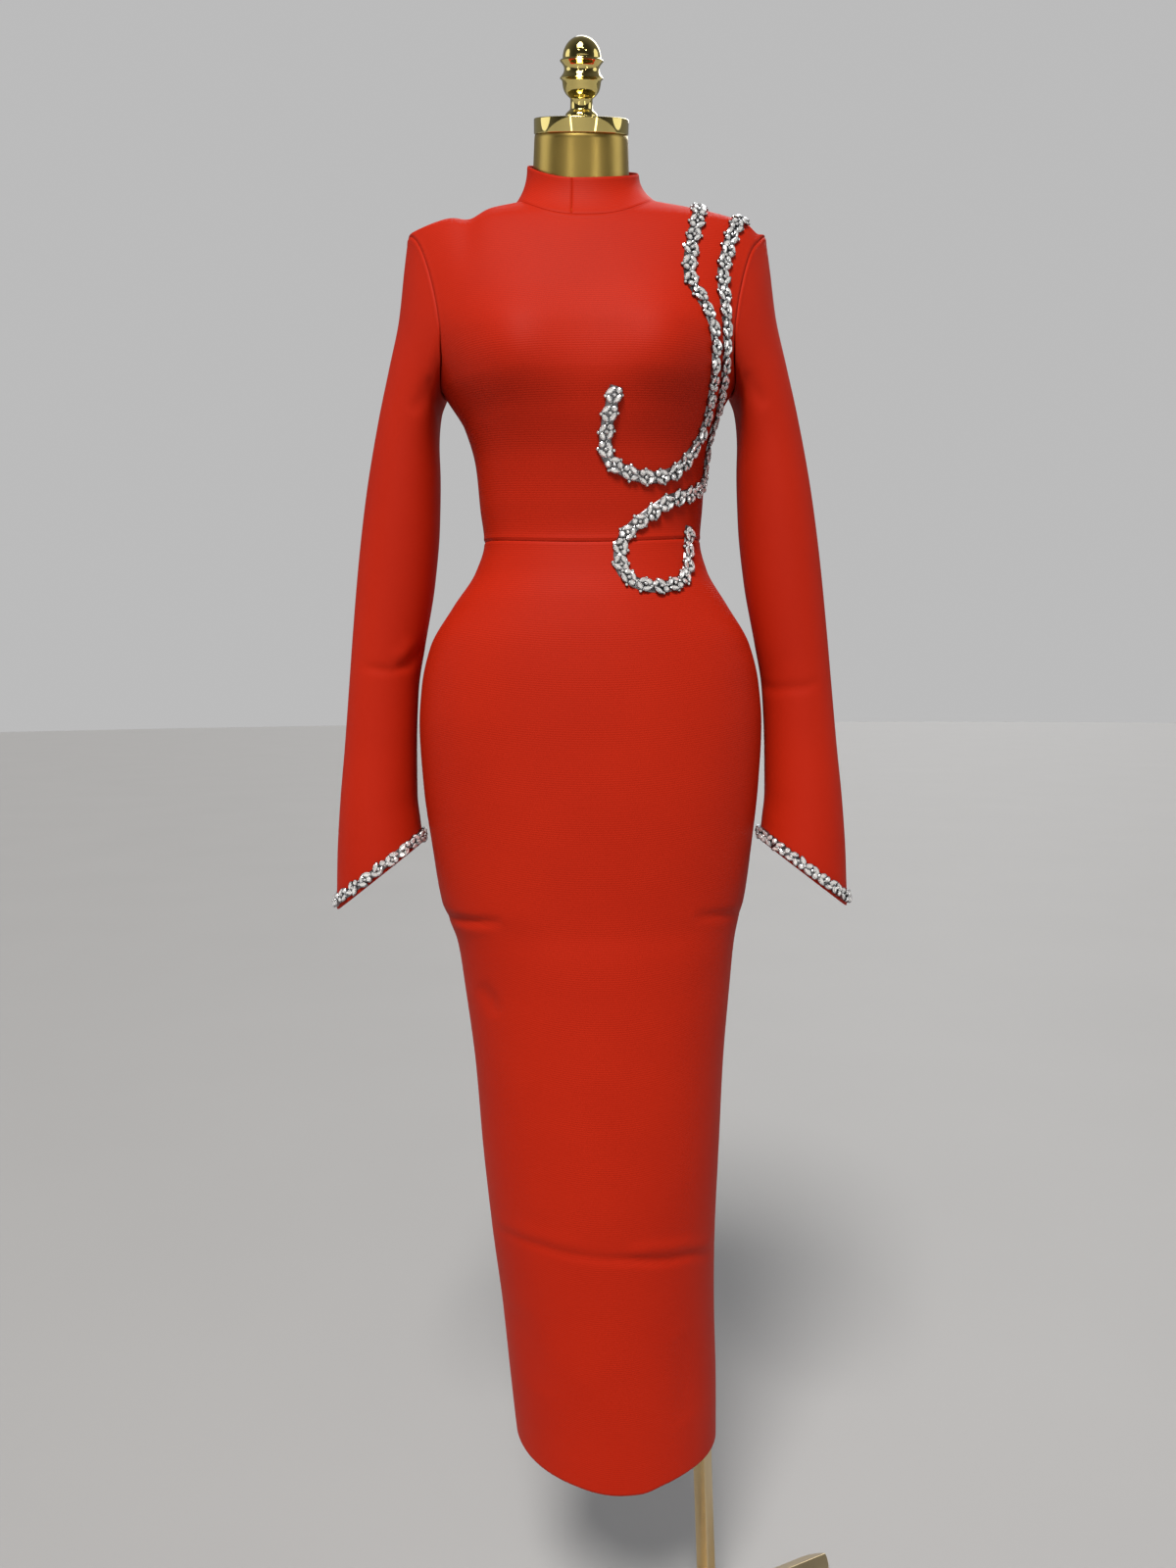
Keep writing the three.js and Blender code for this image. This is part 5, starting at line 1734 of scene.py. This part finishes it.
@dataclass
class CentreZip:
    """Tape, teeth, slider and pull of the centre-back zip."""

    shop: Workshop
    half: float = 12.0
    thickness: float = 1.4
    lift: float = 0.6
    bottom: float = 998.0
    tooth_pitch: float = 2.4

    def path(self, count: int) -> tuple[Array, Array]:
        """Middle of the tape's underside and the way out, from the bottom up to the collar's edge.

        Args:
            count: points aimed at.

        Returns:
            The points and the ways out.
        """
        shape = self.shop.shape
        z = np.linspace(self.bottom, shape.neckline[2] - 4, count)
        on_body = shape.point(Side.BACK, shape.mid(z), z)
        share = np.linspace(0.05, 0.96, 10)
        on_collar = CollarShape(shape).point(np.full(10, 1.5 * math.pi), share)
        line = np.concatenate([on_body, on_collar])
        run = arc(line[None], 1)[0]
        places = np.linspace(0, run[-1], count)
        line = np.stack([np.interp(places, run, line[:, k]) for k in range(3)], axis=-1)
        up = unit(np.gradient(line, axis=0))
        out = unit(np.cross(up, np.array([1.0, 0.0, 0.0])))
        return line, out

    def build(self) -> None:
        """Make the tape and its teeth, and finish the slider and the pull."""
        line, out = self.path(180)
        across = np.linspace(-1, 1, 9)
        bow = (across ** 2) * 0.55
        grid = (line[:, None] + np.array([1.0, 0, 0]) * (across * self.half)[None, :, None]
                + out[:, None] * (self.lift + self.thickness - bow)[None, :, None])
        wall = ClothWall("zip_tape_cloth", grid[::-1], roll=0.2)
        tape = self.shop.dress(wall.build(), self.shop.finishes.zip_tape, "zip_tape", ["zip_tape"])
        self.teeth(line, out)
        for node, body in (("zip_slider", "main"), ("zip_pull", "pull")):
            self.shop.dress(rounded_copy(self.shop.frame["nodes"][node], 0.00025, 2),
                            self.shop.finishes.zip_metal, "zip_metal", [node], body)

    def teeth(self, line: Array, out: Array) -> None:
        """Repeat the zip's teeth along its path, in turn from the left and the right.

        Args:
            line: middle of the tape.
            out: ways out of the cloth.
        """
        run = arc(line[None], 1)[0]
        places = np.arange(6.0, run[-1] - 16.0, self.tooth_pitch / 2)
        settings = []
        for k, place in enumerate(places):
            here = np.array([np.interp(place, run, line[:, i]) for i in range(3)])
            way_out = unit(np.array([np.interp(place, run, out[:, i]) for i in range(3)]))
            up = unit(np.cross(np.array([1.0, 0, 0]), way_out) * -1)
            z_axis, y_axis = Vector(way_out), Vector(-up)
            x_axis = y_axis.cross(z_axis)
            base = Matrix((x_axis, y_axis, z_axis)).transposed().to_quaternion()
            side = 1 if k % 2 else -1
            spot = here + way_out * (self.lift + self.thickness + 0.1) + np.array([side * 1.3, 0, 0])
            settings.append(Setting(StoneCut.BEAD, spot, base, 1.0))
        box = np.array([[x, y, z] for x in (-1.9, 1.9) for y in (-0.55, 0.55) for z in (-0.35, 0.75)])
        box[[1, 3, 5, 7], 0] *= 0.8
        faces = [[0, 1, 3, 2], [4, 6, 7, 5], [0, 4, 5, 1], [2, 3, 7, 6], [0, 2, 6, 4], [1, 5, 7, 3]]
        pattern = pattern_object("zip_tooth", box, faces)
        recipe = NodeRecipe("zip_teeth")
        scale = recipe.number("Scale", 1.0)
        turn = recipe.add("GeometryNodeInputNamedAttribute", {"data_type": "QUATERNION"}, {0: "turn"})
        info = recipe.add("GeometryNodeObjectInfo", {}, {0: pattern})
        placed = recipe.add("GeometryNodeInstanceOnPoints", {}, {
            "Points": recipe.start.outputs[0], "Instance": info.outputs["Geometry"],
            "Rotation": turn.outputs[0], "Scale": scale,
        })
        piece = recipe.run(spots("zip_spots", settings), placed.outputs[0],
                           self.shop.finishes.zip_metal, "zip_teeth")
        bpy.data.objects.remove(pattern)
        self.shop.dress(piece, self.shop.finishes.zip_metal, "zip_metal")


def rounded_copy(node: bpy.types.Object, radius: float, segments: int) -> bpy.types.Object:
    """Copy a CAD node, join its loose triangles and round its edges.

    Args:
        node: the CAD node.
        radius: the rounding in metres.
        segments: faces across it.

    Returns:
        The copy, named after the node.
    """
    piece = bpy.data.objects.new(f"{node.name}_finished", node.data.copy())
    bpy.context.scene.collection.objects.link(piece)
    weld = piece.modifiers.new("weld", "WELD")
    weld.merge_threshold = 1e-6
    flat = piece.modifiers.new("flat", "DECIMATE")
    flat.decimate_type = "DISSOLVE"
    flat.angle_limit = math.radians(1.0)
    bevel = piece.modifiers.new("bevel", "BEVEL")
    bevel.width = radius
    bevel.segments = segments
    bevel.limit_method = "ANGLE"
    bevel.angle_limit = math.radians(35)
    bevel.use_clamp_overlap = True
    evaluated = piece.evaluated_get(bpy.context.evaluated_depsgraph_get())
    mesh = bpy.data.meshes.new_from_object(evaluated)
    piece.modifiers.clear()
    piece.data = mesh
    mesh.polygons.foreach_set("use_smooth", [True] * len(mesh.polygons))
    mesh.set_sharp_from_angle(angle=math.radians(40))
    return piece


def turned_rings(profile: Sequence[tuple[float, float]], count: int) -> Array:
    """Rings of a turned piece about Z.

    Args:
        profile: radius and height of each ring.
        count: points round.

    Returns:
        Rows of points.
    """
    turn = np.arange(count) * 2 * np.pi / count
    return np.array([[[r * math.cos(t), r * math.sin(t), z] for t in turn] for r, z in profile])


@dataclass
class DressForm:
    """The limbless form: torso, neck, cap and finial."""

    shop: Workshop
    inset: float = 3.2
    bottom: float = 797.0
    neck_base: tuple[float, float, float] = (-4.5, -19.0, 1552.0)
    neck_tilt: float = 21.0
    neck_lean: float = 1.0
    cap_radius: float = 45.5
    cap_height: float = 13.4
    cap_edge: float = 1.0
    ball_centre: float = 49.7
    ball_radius: float = 18.0

    def build(self) -> None:
        """Make the form."""
        self.torso()
        self.cap()
        self.finial()

    def placed(self, grid: Array) -> Array:
        """Move points from the neck's own frame onto the tilted neck."""
        turn = (Matrix.Rotation(math.radians(self.neck_tilt), 3, "X")
                @ Matrix.Rotation(math.radians(self.neck_lean), 3, "Y"))
        return grid @ np.array(turn).T + np.array(self.neck_base)

    def closed(self, name: str, grid: Array) -> bpy.types.Object:
        """Skin over rings, closed at both ends."""
        rows, count = grid.shape[:2]
        faces = [list(f) for f in grid_faces(rows, count, True)]
        faces += [list(range(count))[::-1], [(rows - 1) * count + k for k in range(count)]]
        piece = mesh_object(name, grid.reshape(-1, 3), faces)
        point_outwards(piece)
        piece.data.set_sharp_from_angle(angle=math.radians(50))
        return piece

    def torso(self) -> None:
        """Make the torso with the neck grown out of it."""
        shape = self.shop.shape
        heights = np.concatenate([
            [self.bottom, self.bottom + 0.8, self.bottom + 3, self.bottom + 7, self.bottom + 11],
            np.linspace(812, 1460, 120), np.linspace(1463, 1486, 14),
        ])
        rounding = ((0, 10), (0.8, 6.6), (3, 3), (7, 0.8), (11, 0))
        pull = Curve([*((self.bottom + up, inset) for up, inset in rounding), (1490, 0)])
        turn = np.arange(160) * 2 * np.pi / 160
        rings = []
        for z in heights:
            source = max(z, self.bottom + 11)
            power = float(shape.sections[4](source))
            across = np.sign(np.cos(turn)) * np.abs(np.cos(turn)) ** (2 / power)
            limit = float(shape.armhole(z)) - self.inset if z > shape.underarm else 1e3
            x = float(shape.mid(source)) + across * float(shape.half(source))
            front = shape.point(Side.FRONT, x, np.full(len(x), source))
            back = shape.point(Side.BACK, x, np.full(len(x), source))
            ring = np.where((np.sin(turn) >= 0)[:, None], front, back)
            inward = shape.normal(ring) * (self.inset + float(pull(z)))
            ring = ring - inward * np.array([1, 1, 0.35 if z > 1440 else 0])
            ring[:, 0] = np.clip(ring[:, 0], -limit, limit)
            ring[:, 2] = z - (2.5 if z > 1455 else 0)
            rings.append(ring)
        torso = self.closed("form_torso_smooth", np.array(rings))
        neck_profile = [(43, -92), (47, -70), (48, -60), (47.6, -45), (46.6, -30), (45.8, -15), (45.2, -4),
                        (44.8, -0.6), (44.2, 0)]
        neck = self.closed("form_neck", self.placed(turned_rings(neck_profile, 96)))
        union = torso.modifiers.new("neck", "BOOLEAN")
        union.operation = "UNION"
        union.object = neck
        union.solver = "EXACT"
        evaluated = torso.evaluated_get(bpy.context.evaluated_depsgraph_get())
        mesh = bpy.data.meshes.new_from_object(evaluated)
        torso.modifiers.clear()
        torso.data = mesh
        bpy.data.objects.remove(neck)
        self.shop.dress(torso, self.shop.finishes.satin_gold, "form_gold", ["form_torso"])

    def cap(self) -> None:
        """Make the polished neck cap."""
        side, edge, top = self.cap_radius - self.cap_edge, self.cap_edge, SEAM + self.cap_height
        turns = np.linspace(math.pi / 2, 0, 5)
        profile = [(side + edge * math.cos(t), SEAM + edge - edge * math.sin(t)) for t in turns]
        profile += [(side + edge * math.sin(t), top - edge + edge * math.cos(t)) for t in turns]
        profile += [(self.cap_radius - 4, top + 0.1), (16, top + 0.1)]
        piece = self.closed("neck_cap_polished", self.placed(turned_rings(profile, 128)))
        self.shop.dress(piece, self.shop.finishes.bright_gold, "bright_gold", ["neck_cap"])

    def finial(self) -> None:
        """Make the turned finial with its ball."""
        bends = [
            (14.8, 0), (15.6, 0.7), (15.6, 2.2), (14.9, 4), (13.2, 5.7), (11.4, 7), (10.8, 8.2), (10.6, 12),
            (10.6, 16), (11.2, 17), (12.8, 18.2), (14.8, 20), (16.4, 22.2), (17.5, 25), (18.1, 28),
            (18.4, 30.4), (19, 31.7), (20.3, 32.5), (20.7, 33.1), (20.3, 33.8), (19, 35.2), (17.4, 37.4),
            (16.7, 39.4), (16.6, 41.4), (17.1, 43), (18.7, 45), (20.1, 46.4), (20.7, 47.3), (20.3, 48.1),
            (18.9, 48.8), (18.1, 49.3),
        ]
        turns = np.radians(np.linspace(0, 88.5, 22))
        radius = self.ball_radius
        ball = [(radius * math.cos(t), self.ball_centre + radius * math.sin(t)) for t in turns]
        base = self.cap_height + 2 * SEAM
        profile = [(r, base + z) for r, z in [*bends, *ball]]
        piece = self.closed("finial_polished", self.placed(turned_rings(profile, 72)))
        self.shop.dress(piece, self.shop.finishes.bright_gold, "bright_gold", ["finial"])


@dataclass
class TripodStand:
    """The stand's metal and its rubber pads, rounded from their CAD solids."""

    shop: Workshop
    roundings: dict[str, float] = field(default_factory=lambda: {
        "post": 0.0012, "post_socket": 0.0016, "post_foot": 0.002, "hub": 0.0025,
        "leg_right": 0.0016, "leg_left": 0.0016, "leg_front": 0.0016,
    })

    def build(self) -> None:
        """Make the stand."""
        nodes = self.shop.frame["nodes"]
        for name, radius in self.roundings.items():
            self.shop.dress(rounded_copy(nodes[name], radius, 3), self.shop.finishes.stand_gold,
                            "stand_gold", [name])
        for name in ("pad_hub", "pad_right", "pad_left", "pad_front"):
            self.shop.dress(rounded_copy(nodes[name], 0.001, 2), self.shop.finishes.rubber, "rubber", [name])


class Lamp(Enum):
    """Kinds of light: a soft panel, or daylight from one side."""

    PANEL = "AREA"
    SUN = "SUN"


@dataclass
class Studio:
    """Pale floor, soft lights and the camera."""

    finishes: Finishes
    floor_radius: float = 30.0
    backdrop: float = 0.50
    ambient_front: float = 0.04
    ambient_back: float = 0.18
    camera_place: tuple[float, float, float] = (0.009, -1.136, 1.026)
    pitch: float = 4.87
    roll: float = 0.46
    lens: float = 27.0

    def build(self) -> None:
        """Make the studio."""
        self.floor()
        centre = (0.0, 0.05, 1.1)
        warm, cool = (1.0, 0.97, 0.93), (0.96, 0.98, 1.0)
        self.light(Lamp.SUN, "day_front", (-0.37, -1.72, 3.5), centre, (0.3, 0.3), 3.5, warm)
        self.light(Lamp.SUN, "day_back", (0.6, 2.0, 2.9), centre, (0.6, 0.6), 1.1, cool)
        self.light(Lamp.SUN, "day_left", (2.6, 0.2, 1.9), centre, (0.6, 0.6), 0.3, cool)
        self.light(Lamp.SUN, "day_right", (-2.6, 0.2, 1.9), centre, (0.6, 0.6), 0.3, cool)
        self.light(Lamp.PANEL, "ceiling", (-0.3, -1.5, 2.9), centre, (1.0, 0.7), 11.0, warm)
        self.light(Lamp.PANEL, "strip_right", (-0.93, -1.95, 0.95), centre, (0.12, 1.0), 1.6, warm)
        self.light(Lamp.PANEL, "strip_left", (1.35, -1.75, 0.95), centre, (0.17, 1.0), 2.2, warm)
        for k, (x, z) in enumerate(((-0.6, 2.3), (0.25, 2.6), (0.9, 2.2))):
            self.light(Lamp.PANEL, f"spot_{k}", (x, -1.9, z), centre, (0.14, 0.14), 1.2, warm)
        self.world()
        bpy.context.scene.view_settings.view_transform = "Standard"
        self.camera()

    def world(self) -> None:
        """Make the surroundings: a pale backdrop that lights the front less than the back."""
        world = bpy.data.worlds.new("studio")
        world.use_nodes = True
        tree = world.node_tree
        tree.nodes.clear()
        place = tree.nodes.new("ShaderNodeTexCoord")
        parts = tree.nodes.new("ShaderNodeSeparateXYZ")
        tree.links.new(place.outputs["Generated"], parts.inputs[0])
        strength = tree.nodes.new("ShaderNodeMapRange")
        tree.links.new(parts.outputs[1], strength.inputs[0])
        for socket, value in enumerate((-0.6, 0.5, self.ambient_front, self.ambient_back), 1):
            strength.inputs[socket].default_value = value
        path = tree.nodes.new("ShaderNodeLightPath")
        mix = tree.nodes.new("ShaderNodeMixShader")
        tree.links.new(path.outputs["Is Camera Ray"], mix.inputs[0])
        for socket in (1, 2):
            background = tree.nodes.new("ShaderNodeBackground")
            background.inputs[0].default_value = (1.0, 0.998, 1.0, 1.0)
            background.inputs[1].default_value = self.backdrop
            tree.links.new(background.outputs[0], mix.inputs[socket])
            if socket == 1:
                tree.links.new(strength.outputs[0], background.inputs[1])
        output = tree.nodes.new("ShaderNodeOutputWorld")
        tree.links.new(mix.outputs[0], output.inputs[0])
        bpy.context.scene.world = world

    def floor(self) -> None:
        """Make the floor as one wide disc."""
        profile = [(0.01, 0.0), (2.0, 0.0), (self.floor_radius, 0.0)]
        count = 96
        grid = turned_rings(profile, count) / METRES - FORM_AXIS
        faces = [list(f) for f in grid_faces(len(profile), count, True)]
        faces.append(list(range(count)))
        piece = mesh_object("studio_floor", grid.reshape(-1, 3), faces)
        piece.data.materials.append(self.finishes.floor)

    @staticmethod
    def light(kind: Lamp, name: str, place: tuple[float, float, float], aim: tuple[float, float, float],
              size: tuple[float, float], power: float, colour: Colour) -> None:
        """Add a light.

        Args:
            kind: panel or sun.
            name: its name.
            place: where it is.
            aim: what it points at.
            size: a panel's width and height, or the sun's spread in radians.
            power: its power in watts, or the sun's strength.
            colour: its colour.
        """
        lamp = bpy.data.lights.new(name, kind.value)
        if kind is Lamp.SUN:
            lamp.angle = size[0]
        else:
            lamp.shape = "RECTANGLE"
            lamp.size, lamp.size_y = size
        lamp.energy = power
        lamp.color = colour
        holder = bpy.data.objects.new(name, lamp)
        holder.location = place
        holder.visible_camera = False
        holder.rotation_euler = (Vector(aim) - Vector(place)).to_track_quat("-Z", "Y").to_euler()
        bpy.context.scene.collection.objects.link(holder)

    def camera(self) -> None:
        """Place the camera where the photograph was taken from."""
        lens = bpy.data.cameras.new("camera")
        lens.sensor_fit = "VERTICAL"
        lens.sensor_height = 36.0
        lens.lens = self.lens
        camera = bpy.data.objects.new("camera", lens)
        camera.location = self.camera_place
        camera.rotation_euler = (
            Matrix.Rotation(math.radians(90 - self.pitch), 3, "X")
            @ Matrix.Rotation(math.radians(-self.roll), 3, "Z")
        ).to_euler()
        bpy.context.scene.collection.objects.link(camera)
        bpy.context.scene.camera = camera


CALF_LINE = (
    (-108, 471.5), (-83, 479.5), (-52, 479), (-22, 475.5), (6.5, 473), (36, 470.5), (65, 464.5), (97, 458.5),
    (126, 436.5),
)
FOLDS = (
    Fold(Side.FRONT, CALF_LINE, 1.6, 4.0),
    Fold(Side.FRONT, ((14, 472), (36, 470.5), (65, 464.5), (97, 458.5), (118, 445)), 1.5, 3.6),
    Fold(Side.FRONT, ((30, 479), (54, 480), (90, 474), (120, 456)), -1.7, 5.5),
    Fold(Side.FRONT, ((-104, 485), (-60, 490), (-10, 486)), -0.8, 8.0),
    Fold(Side.FRONT, ((-148, 793), (-133, 794), (-119, 795), (-104, 796.5), (-86, 798)), 3.4, 3.8),
    Fold(Side.FRONT, ((-146, 784), (-119, 786), (-96, 790)), -1.0, 6.0),
    Fold(Side.FRONT, ((98, 801.5), (126, 798.7), (152, 794)), 2.2, 4.5),
    Fold(Side.FRONT, ((-112, 732), (-101, 718), (-95, 702)), 2.0, 9.0),
    Fold(Side.FRONT, ((-78, 400), (-66, 360), (-60, 320)), 1.2, 16.0),
    Fold(Side.FRONT, ((84, 380), (90, 330), (92, 290)), 1.4, 14.0),
    Fold(Side.BACK, ((-90, 466), (-40, 474), (20, 470), (80, 462)), 1.4, 6.0),
    Fold(Side.BACK, ((-146, 792), (-110, 796), (-70, 799)), 2.2, 5.0),
    Fold(Side.BACK, ((80, 799), (120, 796), (150, 791)), 1.8, 5.0),
)
SLEEVE_FOLDS = (
    Fold(Side.FRONT, ((-228, 1046), (-209, 1042), (-195, 1040), (-182, 1046)), 1.4, 4.0),
    Fold(Side.FRONT, ((-190, 1039), (-180, 1046), (-170, 1060), (-163, 1074)), 2.2, 5.0),
    Fold(Side.FRONT, ((-196, 1051), (-184, 1058), (-176, 1072)), -1.4, 6.0),
    Fold(Side.FRONT, ((166, 1024), (184, 1019), (212, 1021), (228, 1026)), 1.4, 5.0),
    Fold(Side.FRONT, ((-150, 1318), (-158, 1300), (-170, 1286)), 1.6, 7.0),
    Fold(Side.FRONT, ((150, 1320), (160, 1303), (172, 1290)), 1.6, 7.0),
)


def main() -> None:
    """Build the object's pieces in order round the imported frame."""
    logging.basicConfig(level=logging.INFO, format="%(message)s")
    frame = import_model()
    finishes = Finishes()
    Studio(finishes).build()
    shop = Workshop(frame, finishes, DressShape(folds=FOLDS))
    Dress(shop).build()
    CrystalTrims(shop).build()
    CentreZip(shop).build()
    DressForm(shop).build()
    TripodStand(shop).build()
    LOG.info("%d pieces", len(shop.made))


if __name__ == "__main__":
    main()
